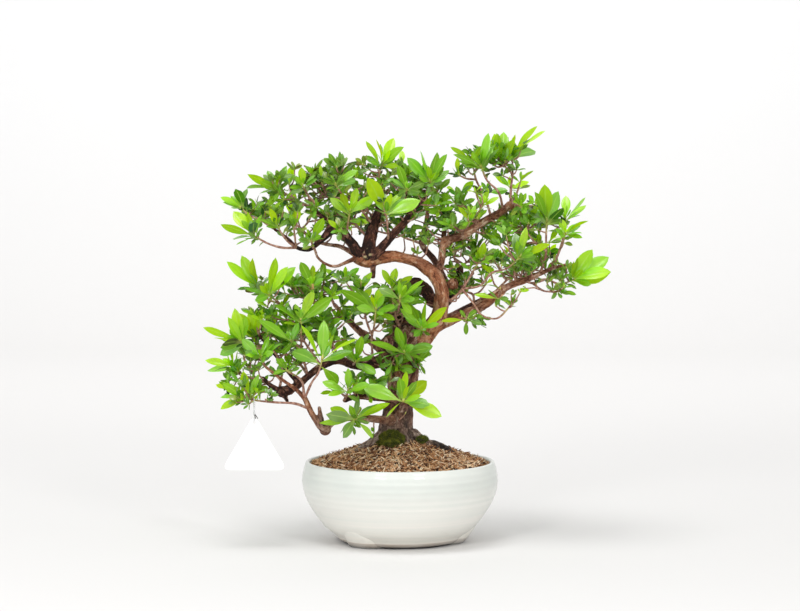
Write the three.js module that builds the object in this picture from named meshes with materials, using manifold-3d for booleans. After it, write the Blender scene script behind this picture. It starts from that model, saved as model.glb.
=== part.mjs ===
// Satsuki azalea bonsai in a glazed bowl, with a blank tag on a wire loop.
// Millimetres, +Z up, front towards -Y. The bowl stands on z = 0.
//
// Points on the plant are written [x, y, z] as they line up for a viewer who stands in front: x and z
// are read on the plane through the bowl's middle, y is the depth behind it, and sight() gives the
// true place. A limb's points carry a diameter as a fourth number.
import * as THREE from "three";
import { mergeVertices } from "three/addons/utils/BufferGeometryUtils.js";
import Module from "manifold-3d";

const wasm = await Module();
wasm.setup();

// ---- Driving dimensions

const VIEWER = { distance: 2500, height: 386 };
const MIDDLE = { x: 8, y: 10 }; // middle of the whole plant's box, from the bowl's axis
const SEAT = 0.3; // gap between pieces that touch

const POT = {
  sides: 28,
  // radius and height up the outside, from the foot ring to the lip
  outside: [[58, 3], [74, 14.5], [85, 28], [94, 43.5], [98, 59], [97.3, 69.5], [95, 78.7]],
  lip: [[93.5, 80.8], [90.5, 80.6]],
  inside: [[91, 62], [85, 40], [70, 20]],
  floor: [54, 11],
  drainRadius: 9,
};
// three lugs: where they stand, their rounded body, its middle and how many degrees it leans out along
// the bowl's side, and how high they hold the bowl
const FOOT = {
  radius: 54, bearings: [-42, 78, 198], size: [20, 10, 40], middle: 5, lean: 40, height: 3,
};
const DRAIN_MESH = { side: 27, thick: 1, bar: 3.5, bars: 3 };
const SOIL = {
  rim: 79,
  rise: 23,
  radius: 90,
  steepness: 1.4,
  rings: [88, 66, 40, 0],
  relief: 1.1,
  waves: [0.71, 0.63, 0.37, 0.43], // radians per mm, of the crossed waves in its surface
};

const BARK = {
  // lobes round a thick limb: how many, their twist from ring to ring, and their height of the radius
  lobes: [[3, 0.9, 0.07], [5, -1.7, 0.04]],
  lobesFrom: 9,
  sides: [[30, 9], [20, 6], [7, 5], [0, 4]], // a limb wider than the first has the second many sides
};
const TWIG = { sides: 3, root: 3, tip: 2.6, bowed: 24 }; // twigs longer than bowed are bowed
const LEAF = {
  thick: 0.66,
  halfWidth: 0.155, // of the length
  arch: 0.2, // height of the midrib's bow, of the length
  stations: [[0.5, 0.95], [0.8, 0.76]], // along the midrib, and share of the half width
};
const WHORL = {
  upright: 0.8, // how far its axis turns up from its twig
  drop: 0.7, // from the twig's tip down to the first leaf's root
  spacing: 1.25, // from one leaf's root to the next, down the twig
  spiral: 137.5, // degrees round the axis from one leaf to the next
  scatter: 50, // degrees more at random
  offset: 61, // degrees from one spray to the next
  tilt: [38, 40], // degrees from the axis, and more at random
  size: [0.68, 0.3], // of a full leaf, and more at random
  clear: 8, // between the midribs of two leaves
  marks: [0.55, 0.78, 1], // where along the midribs that is measured
  turns: [0, 16, -16, 32, -32, 48, -48, 66, -66], // degrees a leaf may turn to find room
  facing: 0.6, // how far its leaves face the light on their side of the plant
  front: 30, // depth up to which that side is the front
};
const SEED = { first: 12345, step: 7919 };

// width, height and the hole's drop are those of the triangle before its corners are rounded
const TAG = { width: 64, height: 55, corner: 9, thick: 0.8, hole: 1.8, holeDrop: 8.1 };
const WIRE = { diameter: 0.9, half: 2.3, sides: 6, bend: 5, length: 20.5 };

// ---- Wood: the limbs of the trunk node, from the root flare up

const LIMBS = {
  trunk: [
    [-4, 0, 60, 28], [-4, 0, 84, 42], [-4, 0, 97, 43], [-4, 0, 111.5, 35], [-2, 0, 131.5, 30],
    [0, 1, 141.5, 28], [3, 1, 166.5, 31.5], [3, 2, 191.5, 38], [6, 2, 204, 37], [8, 3, 213, 29],
  ],
  rootLeft: [[-13, -6, 108, 17], [-27, -11, 97.5, 13], [-38, -13, 91.5, 10], [-50, -16, 83, 7]],
  rootRight: [
    [11, -4, 107, 16], [25, -7, 98.5, 11], [37, -9, 95.5, 9.5], [48, -11, 90.5, 8], [57, -13, 82, 6],
  ],
  rootFront: [[-7, -10, 108, 16], [-10, -22, 97, 11], [-12, -32, 87, 7]],
  rootBack: [[4, 12, 111, 17], [12, 30, 99, 12], [17, 46, 88, 7]],
  arch: [
    [10, 0, 197, 25], [25, -5, 207.5, 21], [37, -11, 221.5, 17], [41, -15, 238.5, 15],
    [40.5, -18, 254.5, 14], [35, -19, 266.5, 14], [25, -19, 275.5, 13.5], [17, -19, 280.5, 12],
    [6, -18, 283.5, 10.5], [-6, -16, 285.5, 11.5], [-15, -16, 284.5, 12.5], [-24, -16, 282.5, 12],
    [-34, -16, 281, 14], [-45, -16, 284, 9],
  ],
  archBack: [
    [2, 5, 209, 20], [-1, 14, 229.5, 18], [4, 22, 247, 17], [14, 27, 256.5, 16], [26, 30, 251, 14],
    [32, 30, 240, 11], [40, 26, 236, 9], [50, 20, 243, 8], [58, 15, 259, 9], [60, 16, 275.5, 7],
  ],
  riserBack: [
    [50, 20, 243, 9], [44, 40, 262, 8], [34, 54, 282, 7], [22, 62, 298, 6.5], [26, 76, 318, 5.5],
    [28, 84, 334, 4.5],
  ],
  branchRight: [
    [16, 0, 208, 14], [28, -4, 210.5, 12], [46, -11, 218.5, 9.5], [68, -16, 229.5, 8.5],
    [85, -19, 237.5, 9], [101, -20, 251.5, 8], [112, -20, 257.5, 7], [124, -19, 261.5, 7],
    [140, -16, 268.5, 5], [152, -14, 273.5, 4], [168, -11, 278, 3],
  ],
  branchRightBack: [
    [8, 11, 200, 14], [26, 32, 211, 10], [48, 51, 224, 8], [74, 68, 238, 6], [96, 78, 250, 4.5],
  ],
  branchApex: [
    [36, -18, 264, 9], [41, -11, 279.5, 7.5], [45.5, -7, 300.5, 8], [63, -4, 306.5, 9],
    [76, -1, 315.5, 8.5], [91, 0, 324.5, 8], [103, 0, 331.5, 7.5], [110, 0, 339, 6],
  ],
  riserApex: [[40, -8, 275, 7], [43, 8, 301.5, 5.5], [45, 14, 322.5, 4.5], [40, 16, 341.5, 3.6]],
  stubArch: [[-27, -16, 281, 7], [-27, -20, 272, 5.5], [-27, -22, 264, 5]],
  knotUp: [
    [-33, -16, 283, 14], [-32, -16, 290, 13.5], [-30, -14, 301.5, 13], [-26, -8, 316.5, 11],
    [-22, -3, 329.5, 8], [-20, 0, 346.5, 4.5],
  ],
  knotRight: [
    [-27, -18, 284, 10], [-12, -22, 301.5, 8.5], [-4, -24, 310.5, 8], [3.5, -24, 318, 7.5],
    [8, -24, 325.5, 6], [22, -22, 341, 4], [29.5, -20, 348, 3],
  ],
  branchCrown: [
    [-40, -16, 286, 11], [-52, -19, 303.5, 10], [-65, -24, 313.5, 11], [-78, -27, 302.5, 6.5],
    [-92, -32, 292.5, 5], [-103, -35, 294.5, 4.2], [-110, -36, 301.5, 3.8], [-126, -38, 313.5, 3.2],
  ],
  riserCrown: [[-65, -24, 313.5, 8], [-78, -19, 325, 5.5], [-88, -16, 334, 4]],
  branchDrooping: [
    [-43, -18, 284, 6], [-54, -22, 279.5, 4], [-65, -27, 275.5, 3.4], [-76.5, -32, 279.5, 3.2],
    [-82, -36, 284.5, 3], [-85, -40, 292.5, 3],
  ],
  branchCrownBack: [[-44, -15, 287, 6], [-60, -5, 295.5, 4.5], [-75, 5, 298, 4], [-90, 16, 303, 3.5]],
  branchLeft: [
    [-4, -4, 178, 18], [-13, -8, 181.5, 16], [-27, -14, 178.5, 12], [-47, -19, 177.5, 9.5],
    [-60, -23, 181.5, 8], [-79, -27, 175.5, 7.5], [-92, -30, 165.5, 7], [-104, -32, 155.5, 8],
    [-121, -35, 149.5, 9],
  ],
  branchLeftUp: [
    [-101, -32, 158, 5.5], [-113, -31, 172, 4.6], [-126, -29, 189, 4.2], [-141, -27, 207, 3.4],
  ],
  stubLeft: [[-119, -35, 150, 6.5], [-129, -37, 156, 5], [-138, -38, 165, 3.6]],
  stubLeftDown: [[-117, -36, 150, 6.5], [-114, -38, 143, 4.2], [-112, -39, 139, 3]],
  branchLeftBack: [
    [0, 11, 178, 14], [-16, 32, 190, 10], [-34, 51, 205, 8], [-52, 68, 222, 6], [-66, 76, 238, 4.5],
  ],
  branchLow: [
    [-6, -11, 121, 10], [-15, -19, 121.5, 8.5], [-34, -30, 123.5, 7], [-50, -40, 123.5, 6],
    [-64, -48, 121, 5.5], [-71, -52, 116.5, 7], [-77, -54, 114, 8], [-84, -57, 121.5, 6.5],
    [-90.5, -58, 132.5, 6], [-95.5, -59, 143.5, 5.5], [-107, -59, 154.5, 4], [-117, -58, 161.5, 3.6], [-135, -55, 175.5, 3],
  ],
  stubLow: [[-77, -55, 116, 5.5], [-79.5, -57, 126, 4.8], [-81, -57, 135, 3.6]],
  branchFront: [
    [-2, -8, 143.5, 10], [-12, -19, 143.5, 8], [-28, -32, 144.5, 7], [-46, -47, 145, 6],
    [-56, -57, 141, 5],
  ],
};

// ---- Leafy sprays: the stem starts inside a limb, and each shoot grows from the stem's end, over its
// own bends, to a whorl of leaves. tips are where a whorl's outer leaves end, more is how many others.

const SPRAYS = {
  crown_01: {
    stem: [[-126, -38, 313.5], [-138, -32, 321]],
    shoots: [
      { at: [-158, -27, 333.5], leaf: 30, tips: [[-179, 344.5], [-162, 349.5]], more: 0 },
      { at: [-137, -14, 321], leaf: 26, tips: [[-145, 343.5], [-127, 336]], more: 1 },
    ],
  },
  crown_02: {
    stem: [[-103, -35, 294.5]],
    shoots: [
      {
        bends: [[-117, -43, 294.5], [-128, -46, 297]], at: [-147, -49, 306.5], leaf: 31,
        tips: [[-179, 317.5], [-159, 325.5], [-166, 330.5]], more: 1,
      },
      { at: [-106, -57, 315], leaf: 21, tips: [[-109, 334.5]], more: 1 },
      { at: [-122, -54, 315], leaf: 22, tips: [[-130, 333.5]], more: 1 },
    ],
  },
  crown_03: {
    stem: [[-88, -16, 334], [-95, -12, 337], [-108, -8, 345]],
    shoots: [
      {
        at: [-123, -7, 353], leaf: 31,
        tips: [[-152, 367.5], [-153, 353.5], [-132, 371], [-117, 372.5], [-132, 335]], more: 0,
      },
      { at: [-110, 19, 357], leaf: 23, tips: [[-108, 375.5]], more: 1 },
    ],
  },
  crown_04: {
    stem: [[-88, -16, 334], [-91, -23, 345]],
    shoots: [
      { at: [-97, -32, 356], leaf: 22, tips: [[-98, 374.5]], more: 1 },
      { at: [-83, -43, 334], leaf: 17, tips: [[-84, 344]], more: 1 },
    ],
  },
  crown_05: {
    stem: [[-30, -14, 301.5], [-50, 0, 324], [-68, 3, 342]],
    shoots: [
      { at: [-89, 16, 366], leaf: 16, tips: [[-96, 376.5], [-77, 382.5]], more: 1 },
      { at: [-78, -16, 360], leaf: 17, tips: [[-79, 377]], more: 1 },
    ],
  },
  crown_06: {
    stem: [[-26, -8, 316.5], [-44, -19, 338]],
    shoots: [
      {
        at: [-60, -14, 369], leaf: 21,
        tips: [[-71, 388.5], [-60, 390.5], [-51, 388.5], [-43, 380.5]], more: 0,
      },
      { at: [-64, -46, 357], leaf: 24, tips: [[-42, 371.5], [-44, 362]], more: 1 },
    ],
  },
  crown_07: {
    stem: [[-20, 0, 346.5], [-22, -3, 360]],
    shoots: [
      {
        at: [-18, -8, 377], leaf: 30,
        tips: [[-34, 400.5], [-24, 402.5], [-6, 403.5], [4, 394.5]], more: 0,
      },
    ],
  },
  crown_08: {
    stem: [[8, -24, 325.5], [5, -16, 346]],
    shoots: [
      { at: [2, 19, 376], leaf: 16, tips: [[2, 391]], more: 1 },
      { at: [7, -36, 352], leaf: 24, tips: [[-2, 376.5]], more: 1 },
    ],
  },
  crown_09: {
    stem: [[40, 16, 341.5], [34, 3, 350]],
    shoots: [
      {
        at: [30, -19, 359.5], leaf: 30,
        tips: [[47, 387.5], [37, 389.5], [20, 391.5], [7, 384], [49, 371.5]], more: 0,
      },
      { at: [14, 19, 354], leaf: 20, tips: [[26, 369]], more: 2 },
    ],
  },
  crown_10: {
    stem: [[-52, -19, 303.5], [-53, -38, 311]],
    shoots: [
      {
        at: [-50, -49, 330], leaf: 24,
        tips: [[-67, 345.5], [-59, 349.5], [-47, 354.5], [-25, 345]], more: 0,
      },
      { at: [-61, -63, 312], leaf: 17, tips: [[-72, 322]], more: 1 },
    ],
  },
  crown_11: {
    stem: [[-12, -22, 301.5], [-12, -43, 314]],
    shoots: [
      {
        at: [-14, -55, 329], leaf: 31,
        tips: [[-29, 366], [-9, 348.5], [2, 349], [20, 341.5], [8, 327]], more: 0,
      },
    ],
  },
  crown_12: {
    stem: [[-85, -40, 292.5]],
    shoots: [{ at: [-89, -62, 302], leaf: 19, tips: [[-96, 317.5], [-76, 324]], more: 1 }],
  },
  crown_13: {
    stem: [[-90, 16, 303], [-98, 30, 313]],
    shoots: [
      { at: [-110, 49, 328], leaf: 24, tips: [], more: 2 },
      { at: [-86, 65, 334], leaf: 24, tips: [], more: 2 },
    ],
  },
  crown_14: {
    stem: [[-26, -8, 316.5], [-32, 22, 330]],
    shoots: [
      { at: [-64, 54, 350], leaf: 25, tips: [], more: 2 },
      { at: [-42, 86, 342], leaf: 25, tips: [], more: 2 },
    ],
  },
  crown_15: {
    stem: [[28, 84, 334], [20, 86, 345]],
    shoots: [
      { at: [6, 97, 358], leaf: 25, tips: [], more: 2 },
      { at: [36, 68, 364], leaf: 24, tips: [], more: 2 },
    ],
  },
  crown_16: {
    stem: [[22, 62, 298], [2, 84, 306]],
    shoots: [
      { at: [-14, 100, 324], leaf: 26, tips: [], more: 2 },
      { at: [-34, 70, 316], leaf: 24, tips: [], more: 2 },
    ],
  },
  apex_01: {
    stem: [[91, 0, 324.5], [84, 3, 346], [76, 5, 362]],
    shoots: [
      { at: [72, -3, 380], leaf: 22, tips: [[50, 394.5]], more: 1 },
      { at: [59, 22, 366], leaf: 20, tips: [[57, 384]], more: 1 },
    ],
  },
  apex_02: {
    stem: [[103, 0, 331.5], [96, -16, 352]],
    shoots: [
      { at: [81, -19, 374], leaf: 33, tips: [[88, 408.5], [91, 396.5]], more: 2 },
    ],
  },
  apex_03: {
    stem: [[110, 0, 339], [111, 3, 355.5], [112, 5, 366]],
    shoots: [
      { at: [101, -3, 378.5], leaf: 32, tips: [[95, 409], [106, 409.5], [113, 411]], more: 1 },
      { at: [112, 14, 384], leaf: 40, tips: [[143, 413], [137, 415.5]], more: 1 },
    ],
  },
  apex_04: {
    stem: [[110, 0, 339]],
    shoots: [
      { at: [120, 22, 360], leaf: 20, tips: [[133, 371]], more: 0 },
      { at: [121, -27, 334], leaf: 20, tips: [[113, 350.5], [121, 352.5]], more: 2 },
    ],
  },
  apex_05: {
    stem: [[76, -1, 315.5], [75, -20, 324]],
    shoots: [
      { at: [83, -35, 337], leaf: 19, tips: [[73, 354], [81, 355], [92, 350.5]], more: 0 },
      { at: [62, -30, 338], leaf: 19, tips: [[56, 355.5], [68, 356]], more: 0 },
    ],
  },
  apex_06: {
    stem: [[63, -4, 306.5], [62, -18, 311]],
    shoots: [
      { at: [70, -51, 321], leaf: 18, tips: [[58, 335], [75, 337]], more: 0 },
      { at: [51, -38, 316], leaf: 18, tips: [], more: 2 },
    ],
  },
  apex_07: {
    stem: [[140, -16, 268.5], [146, -19, 291]],
    shoots: [
      { at: [146, -22, 319], leaf: 36, tips: [[144, 357.5], [134, 350], [158, 350.5]], more: 0 },
      { at: [124, -14, 316], leaf: 17, tips: [[119, 332]], more: 1 },
    ],
  },
  apex_08: {
    stem: [[152, -14, 273.5], [159, -19, 292]],
    shoots: [
      { at: [165, -8, 323], leaf: 26, tips: [[163, 346.5], [185, 344.5], [189, 338]], more: 0 },
      { at: [165, -40, 308], leaf: 26, tips: [[188, 321], [182, 304], [152, 303]], more: 0 },
    ],
  },
  apex_09: {
    stem: [[76, -1, 315.5], [70, 27, 329]],
    shoots: [
      { at: [58, 57, 346], leaf: 25, tips: [], more: 2 },
      { at: [86, 62, 350], leaf: 25, tips: [], more: 2 },
    ],
  },
  apex_10: {
    stem: [[103, 0, 331.5], [112, 30, 336]],
    shoots: [
      { at: [110, 62, 354], leaf: 25, tips: [], more: 2 },
      { at: [134, 49, 336], leaf: 24, tips: [], more: 2 },
    ],
  },
  right_01: {
    stem: [[41, -15, 238.5], [52, -22, 243], [62, -27, 253]],
    shoots: [
      { bends: [[72, -30, 269]], at: [80, -40, 282], leaf: 20, tips: [[84, 300]], more: 2 },
      {
        bends: [[81, -35, 257.5], [91, -38, 269], [106, -40, 273]], at: [119, -46, 284], leaf: 31,
        tips: [[126, 315], [152, 295.5], [103, 296.5], [134, 276]], more: 0,
      },
      {
        bends: [[73, -38, 238.5], [81, -43, 227], [96, -49, 223.5]], at: [112, -54, 238], leaf: 14,
        tips: [], more: 2,
      },
    ],
  },
  right_02: {
    stem: [[124, -19, 261.5], [132, -24, 259]],
    shoots: [
      {
        bends: [[145, -27, 263], [160, -27, 258]], at: [173, -30, 262], leaf: 32,
        tips: [[192, 292.5], [177, 284.5], [213, 279.5], [210, 270.5], [216, 262.5]], more: 0,
      },
      { at: [152, 0, 266], leaf: 18, tips: [[166, 277]], more: 0 },
      {
        bends: [[145, -40, 250.5]], at: [160, -49, 250.5], leaf: 14,
        tips: [[151, 243], [176, 247.5]], more: 1,
      },
    ],
  },
  right_03: {
    stem: [[101, -20, 251.5]],
    shoots: [
      { at: [98, -50, 242.5], leaf: 22, tips: [[74, 247.5], [114, 237]], more: 1 },
    ],
  },
  right_04: {
    stem: [[68, -16, 229.5]],
    shoots: [
      {
        at: [66, -47, 221.5], leaf: 16,
        tips: [[41, 220.5], [60, 232], [77, 232], [82, 218], [66, 207]], more: 0,
      },
    ],
  },
  right_05: {
    stem: [[60, 16, 275.5]],
    shoots: [
      { at: [52, -11, 292], leaf: 19, tips: [], more: 2 },
      { at: [76, 27, 294], leaf: 20, tips: [], more: 3 },
    ],
  },
  right_06: {
    stem: [[96, 78, 250], [106, 84, 262]],
    shoots: [
      { at: [124, 78, 276], leaf: 24, tips: [], more: 2 },
      { at: [98, 103, 278], leaf: 24, tips: [], more: 2 },
    ],
  },
  right_07: {
    stem: [[74, 68, 238], [73, 70, 247]],
    shoots: [
      { at: [58, 89, 260], leaf: 24, tips: [], more: 2 },
      { at: [86, 40, 258], leaf: 22, tips: [], more: 2 },
    ],
  },
  right_08: {
    stem: [[112, -20, 257.5], [124, 11, 266]],
    shoots: [
      { at: [146, 38, 286], leaf: 24, tips: [], more: 2 },
      { at: [120, 46, 298], leaf: 24, tips: [], more: 2 },
    ],
  },
  left_01: {
    stem: [[-79, -27, 175.5], [-100, -24, 207], [-118, -24, 237]],
    shoots: [
      { at: [-143, -16, 253.5], leaf: 37, tips: [[-173, 280.5], [-158, 286.5], [-147, 284]], more: 0 },
      {
        at: [-131, -40, 247], leaf: 33,
        tips: [[-124, 284.5], [-113, 279], [-104, 275]], more: 0,
      },
    ],
  },
  left_02: {
    stem: [[-60, -23, 181.5], [-75, -11, 215], [-84, -11, 236]],
    shoots: [
      { at: [-97, -11, 246], leaf: 22, tips: [[-108, 266]], more: 1 },
      { at: [-88, -35, 256], leaf: 24, tips: [[-105, 276.5], [-87, 277]], more: 0 },
      { at: [-76, 0, 262], leaf: 18, tips: [[-77, 280], [-63, 273]], more: 1 },
    ],
  },
  left_03: {
    stem: [[-27, -14, 178.5], [-28, -35, 206]],
    shoots: [
      { at: [-24, -54, 232], leaf: 38, tips: [[-60, 251.5], [-19, 255], [-5, 222]], more: 0 },
      { at: [-38, -32, 252], leaf: 22, tips: [[-52, 268], [-28, 270]], more: 1 },
    ],
  },
  left_04: {
    stem: [[6, 3, 204], [-4, -27, 226]],
    shoots: [
      { at: [-8, -30, 254], leaf: 22, tips: [[-18, 272.5], [-4, 274], [13, 266]], more: 0 },
      { at: [0, -62, 243], leaf: 34, tips: [[24, 262], [12, 228], [17, 246]], more: 0 },
    ],
  },
  left_05: {
    stem: [[-92, -30, 165.5], [-98, -40, 192]],
    shoots: [
      {
        at: [-99, -38, 221], leaf: 30,
        tips: [[-86, 252], [-68, 244.5], [-127, 238], [-117, 219]], more: 0,
      },
      { at: [-109, -57, 201], leaf: 20, tips: [[-141, 222], [-118, 188]], more: 1 },
    ],
  },
  left_06: {
    stem: [[-121, -35, 149.5], [-119, -32, 176.5], [-127, -30, 191]],
    shoots: [
      { at: [-147, -16, 204], leaf: 30, tips: [[-157, 231], [-137, 233], [-148, 235]], more: 0 },
      {
        at: [-159, -43, 199.5], leaf: 34,
        tips: [[-172, 225], [-164, 229], [-197, 214.5], [-187, 204], [-180, 187]], more: 0,
      },
    ],
  },
  left_07: {
    stem: [[-121, -35, 149.5], [-137, -30, 160]],
    shoots: [
      {
        at: [-167, -24, 175], leaf: 27,
        tips: [[-195, 181.5], [-193, 171], [-180, 193], [-165, 197]], more: 0,
      },
      { at: [-150, 0, 172], leaf: 20, tips: [], more: 2 },
    ],
  },
  left_08: {
    stem: [[-135, -55, 175.5]],
    shoots: [
      {
        at: [-140, -62, 185], leaf: 26,
        tips: [[-158, 203], [-131, 206], [-118, 196]], more: 1,
      },
    ],
  },
  left_09: {
    stem: [[-90.5, -58, 132.5], [-102, -62, 137.5], [-125, -62, 139], [-146, -62, 141.5]],
    shoots: [
      {
        at: [-156, -62, 144], leaf: 27,
        tips: [[-178, 158.5], [-180, 144], [-180, 132], [-157, 171], [-141, 168]], more: 0,
      },
    ],
  },
  left_10: {
    stem: [[-95.5, -59, 143.5], [-99, -68, 161]],
    shoots: [
      { at: [-114, -81, 172], leaf: 18, tips: [[-124, 184]], more: 1 },
    ],
  },
  left_11: {
    stem: [[-95.5, -59, 143.5], [-87, -73, 160.5]],
    shoots: [
      {
        at: [-78, -84, 182], leaf: 38,
        tips: [[-99, 217], [-66, 208], [-76, 222], [-42, 203], [-62, 158], [-108, 190]], more: 0,
      },
    ],
  },
  left_12: {
    stem: [[-56, -57, 141]],
    shoots: [
      {
        at: [-52, -81, 152], leaf: 23,
        tips: [[-78, 160], [-52, 174], [-72, 146], [-30, 157]], more: 0,
      },
    ],
  },
  left_13: {
    stem: [[-47, -19, 177.5]],
    shoots: [
      {
        at: [-44, -57, 180], leaf: 30,
        tips: [[-14, 190], [-38, 206], [-56, 200], [-24, 168]], more: 0,
      },
    ],
  },
  left_14: {
    stem: [[-50, -40, 123.5]],
    shoots: [
      {
        at: [-45, -78, 122], leaf: 37,
        tips: [[-81, 118.5], [-70, 134], [-10, 138.5], [-27, 104], [-60, 108]], more: 0,
      },
    ],
  },
  left_15: {
    stem: [[-12, -19, 143.5]],
    shoots: [
      {
        at: [3, -73, 140], leaf: 38,
        tips: [[6, 171], [27, 161], [42, 125], [-14, 124], [-38, 155]], more: 0,
      },
    ],
  },
  left_16: {
    stem: [[3, -11, 189]],
    shoots: [{ at: [4, -51, 189], leaf: 32, tips: [[33, 196], [27, 180], [-30, 200]], more: 1 }],
  },
  left_17: {
    stem: [[25, -5, 207.5]],
    shoots: [
      {
        at: [22, -38, 213], leaf: 28,
        tips: [[0, 233.5], [26, 242], [47, 235], [10, 238]], more: 0,
      },
    ],
  },
  left_18: {
    stem: [[-66, 76, 238], [-70, 78, 246]],
    shoots: [
      { at: [-86, 76, 258], leaf: 25, tips: [], more: 2 },
      { at: [-56, 97, 262], leaf: 25, tips: [], more: 2 },
    ],
  },
  left_19: {
    stem: [[-34, 51, 205], [-32, 62, 208]],
    shoots: [
      { at: [-50, 94, 226], leaf: 25, tips: [], more: 2 },
      { at: [-14, 78, 232], leaf: 25, tips: [], more: 2 },
    ],
  },
  left_20: {
    stem: [[-92, -30, 165.5], [-102, 5, 180]],
    shoots: [
      { at: [-126, 35, 206], leaf: 25, tips: [], more: 2 },
      { at: [-98, 51, 208], leaf: 25, tips: [], more: 2 },
    ],
  },
};

// ---- Finishes

const finish = (color, roughness, metalness = 0) =>
  new THREE.MeshStandardMaterial({ color, roughness, metalness });
const GLAZE = finish("#dfe4dc", 0.18);
const SOIL_FIBRE = finish("#a27650", 0.95);
const BARK_BROWN = finish("#6f4a3c", 0.85);
const LEAF_GREEN = finish("#6d9e2e", 0.5);
const TAG_WHITE = finish("#f6f7f7", 0.5);
const WIRE_GREY = finish("#9a9c9e", 0.35, 1);
const MESH_BLACK = finish("#26282a", 0.6);

// ---- Tools of the trade

const bonsai = new THREE.Group();
bonsai.position.set(-MIDDLE.x, -MIDDLE.y, 0);

// The true place of a point as it lines up for the viewer.
function sight([x, y, z]) {
  const scale = (VIEWER.distance + y) / VIEWER.distance;
  return new THREE.Vector3(x * scale, y, VIEWER.height + (z - VIEWER.height) * scale);
}

// A closed geometry as a solid.
function solid(geometry) {
  const bare = geometry.clone();
  bare.deleteAttribute("normal");
  bare.deleteAttribute("uv");
  const merged = mergeVertices(bare, 1e-4);
  return new wasm.Manifold(
    new wasm.Mesh({
      numProp: 3,
      vertProperties: merged.getAttribute("position").array,
      triVerts: new Uint32Array(merged.index.array),
    }),
  );
}

// A closed geometry from points and triangles of their numbers.
function shell(points, triangles) {
  const geometry = new THREE.BufferGeometry().setFromPoints(points);
  geometry.setIndex(triangles);
  return geometry;
}

// The largest body of a solid: what a cut left loose is dropped, and a sealed hollow is filled.
function onePiece(cut) {
  return cut.decompose().reduce((best, body) => (body.volume() > best.volume() ? body : best));
}

function addPiece(name, body, material) {
  const cut = body.getMesh();
  const geometry = new THREE.BufferGeometry();
  geometry.setAttribute("position", new THREE.BufferAttribute(new Float32Array(cut.vertProperties), 3));
  geometry.setIndex(new THREE.BufferAttribute(new Uint32Array(cut.triVerts), 1));
  geometry.computeVertexNormals();
  const mesh = new THREE.Mesh(geometry, material);
  mesh.name = name;
  bonsai.add(mesh);
}

// Seeded draws between 0 and 1.
function draws(seed) {
  let state = seed >>> 0;
  return () => {
    state = (Math.imul(state, 1664525) + 1013904223) >>> 0;
    return state / 4294967296;
  };
}

// A tapered limb: rings round the points, turned as little as possible from one to the next.
function limb(points, diameters, sides, grow = 0) {
  const rings = [];
  const triangles = [];
  let across = new THREE.Vector3(0.31, 1, 0.17);
  points.forEach((point, i) => {
    const next = points[Math.min(i + 1, points.length - 1)];
    const along = next.clone().sub(points[Math.max(i - 1, 0)]).normalize();
    across = across.clone().addScaledVector(along, -across.dot(along)).normalize();
    const beside = new THREE.Vector3().crossVectors(along, across);
    const lobes = diameters[i] > BARK.lobesFrom ? BARK.lobes : [];
    for (let s = 0; s < sides; s++) {
      const angle = (2 * Math.PI * s) / sides;
      const swell = ([count, twist, height]) => height * Math.sin(count * angle + twist * i);
      const radius = (diameters[i] / 2) * (1 + lobes.map(swell).reduce((a, b) => a + b, 0)) + grow;
      const spoke = across.clone().multiplyScalar(Math.cos(angle) * radius);
      rings.push(point.clone().add(spoke).addScaledVector(beside, Math.sin(angle) * radius));
    }
  });
  for (let i = 0; i + 1 < points.length; i++) {
    for (let s = 0; s < sides; s++) {
      const a = i * sides + s;
      const b = i * sides + ((s + 1) % sides);
      triangles.push(a, b, b + sides, a, b + sides, a + sides);
    }
  }
  const top = (points.length - 1) * sides;
  for (let s = 1; s + 1 < sides; s++) {
    triangles.push(0, s + 1, s, top, top + s, top + s + 1);
  }
  return solid(shell(rings, triangles));
}

// A leaf blade from base to tip, its upper face towards up: a long outline that is widest past its
// middle, bowed so that the tip droops, and alike on both faces.
function blade(base, reach, up) {
  const length = reach.length();
  const along = reach.clone().normalize();
  const over = up.clone().addScaledVector(along, -up.dot(along)).normalize();
  const side = new THREE.Vector3().crossVectors(over, along);
  const spot = (face) => ([t, across]) =>
    base
      .clone()
      .addScaledVector(along, t * length)
      .addScaledVector(side, across * LEAF.halfWidth * length)
      .addScaledVector(over, LEAF.arch * (t - t * t) * length + (face * LEAF.thick) / 2);
  const [[t1, w1], [t2, w2]] = LEAF.stations;
  const outline = [[0, 0], [t1, w1], [t2, w2], [t2, -w2], [t1, -w1]];
  const points = [...outline.map(spot(1)), ...outline.map(spot(-1)), spot(0)([1, 0])];
  const [n, tip] = [outline.length, points.length - 1];
  const facets = [[0, 4, 1], [1, 4, 3], [1, 3, 2]];
  const triangles = facets.flatMap(([a, b, c]) => [a, b, c, a + n, c + n, b + n]);
  for (const [i, j] of [[0, 1], [1, 2], [3, 4], [4, 0]]) {
    triangles.push(i, j, j + n, i, j + n, i + n);
  }
  triangles.push(2, 3, tip, 3, 3 + n, tip, 3 + n, 2 + n, tip, 2 + n, 2, tip);
  return solid(shell(points, triangles));
}

// ---- Pot

// A profile of radii and heights, turned about the bowl's axis.
function lathe(profile) {
  const points = profile.map(([r, z]) => new THREE.Vector2(r, z));
  return new THREE.LatheGeometry(points, POT.sides).rotateX(Math.PI / 2);
}

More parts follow.
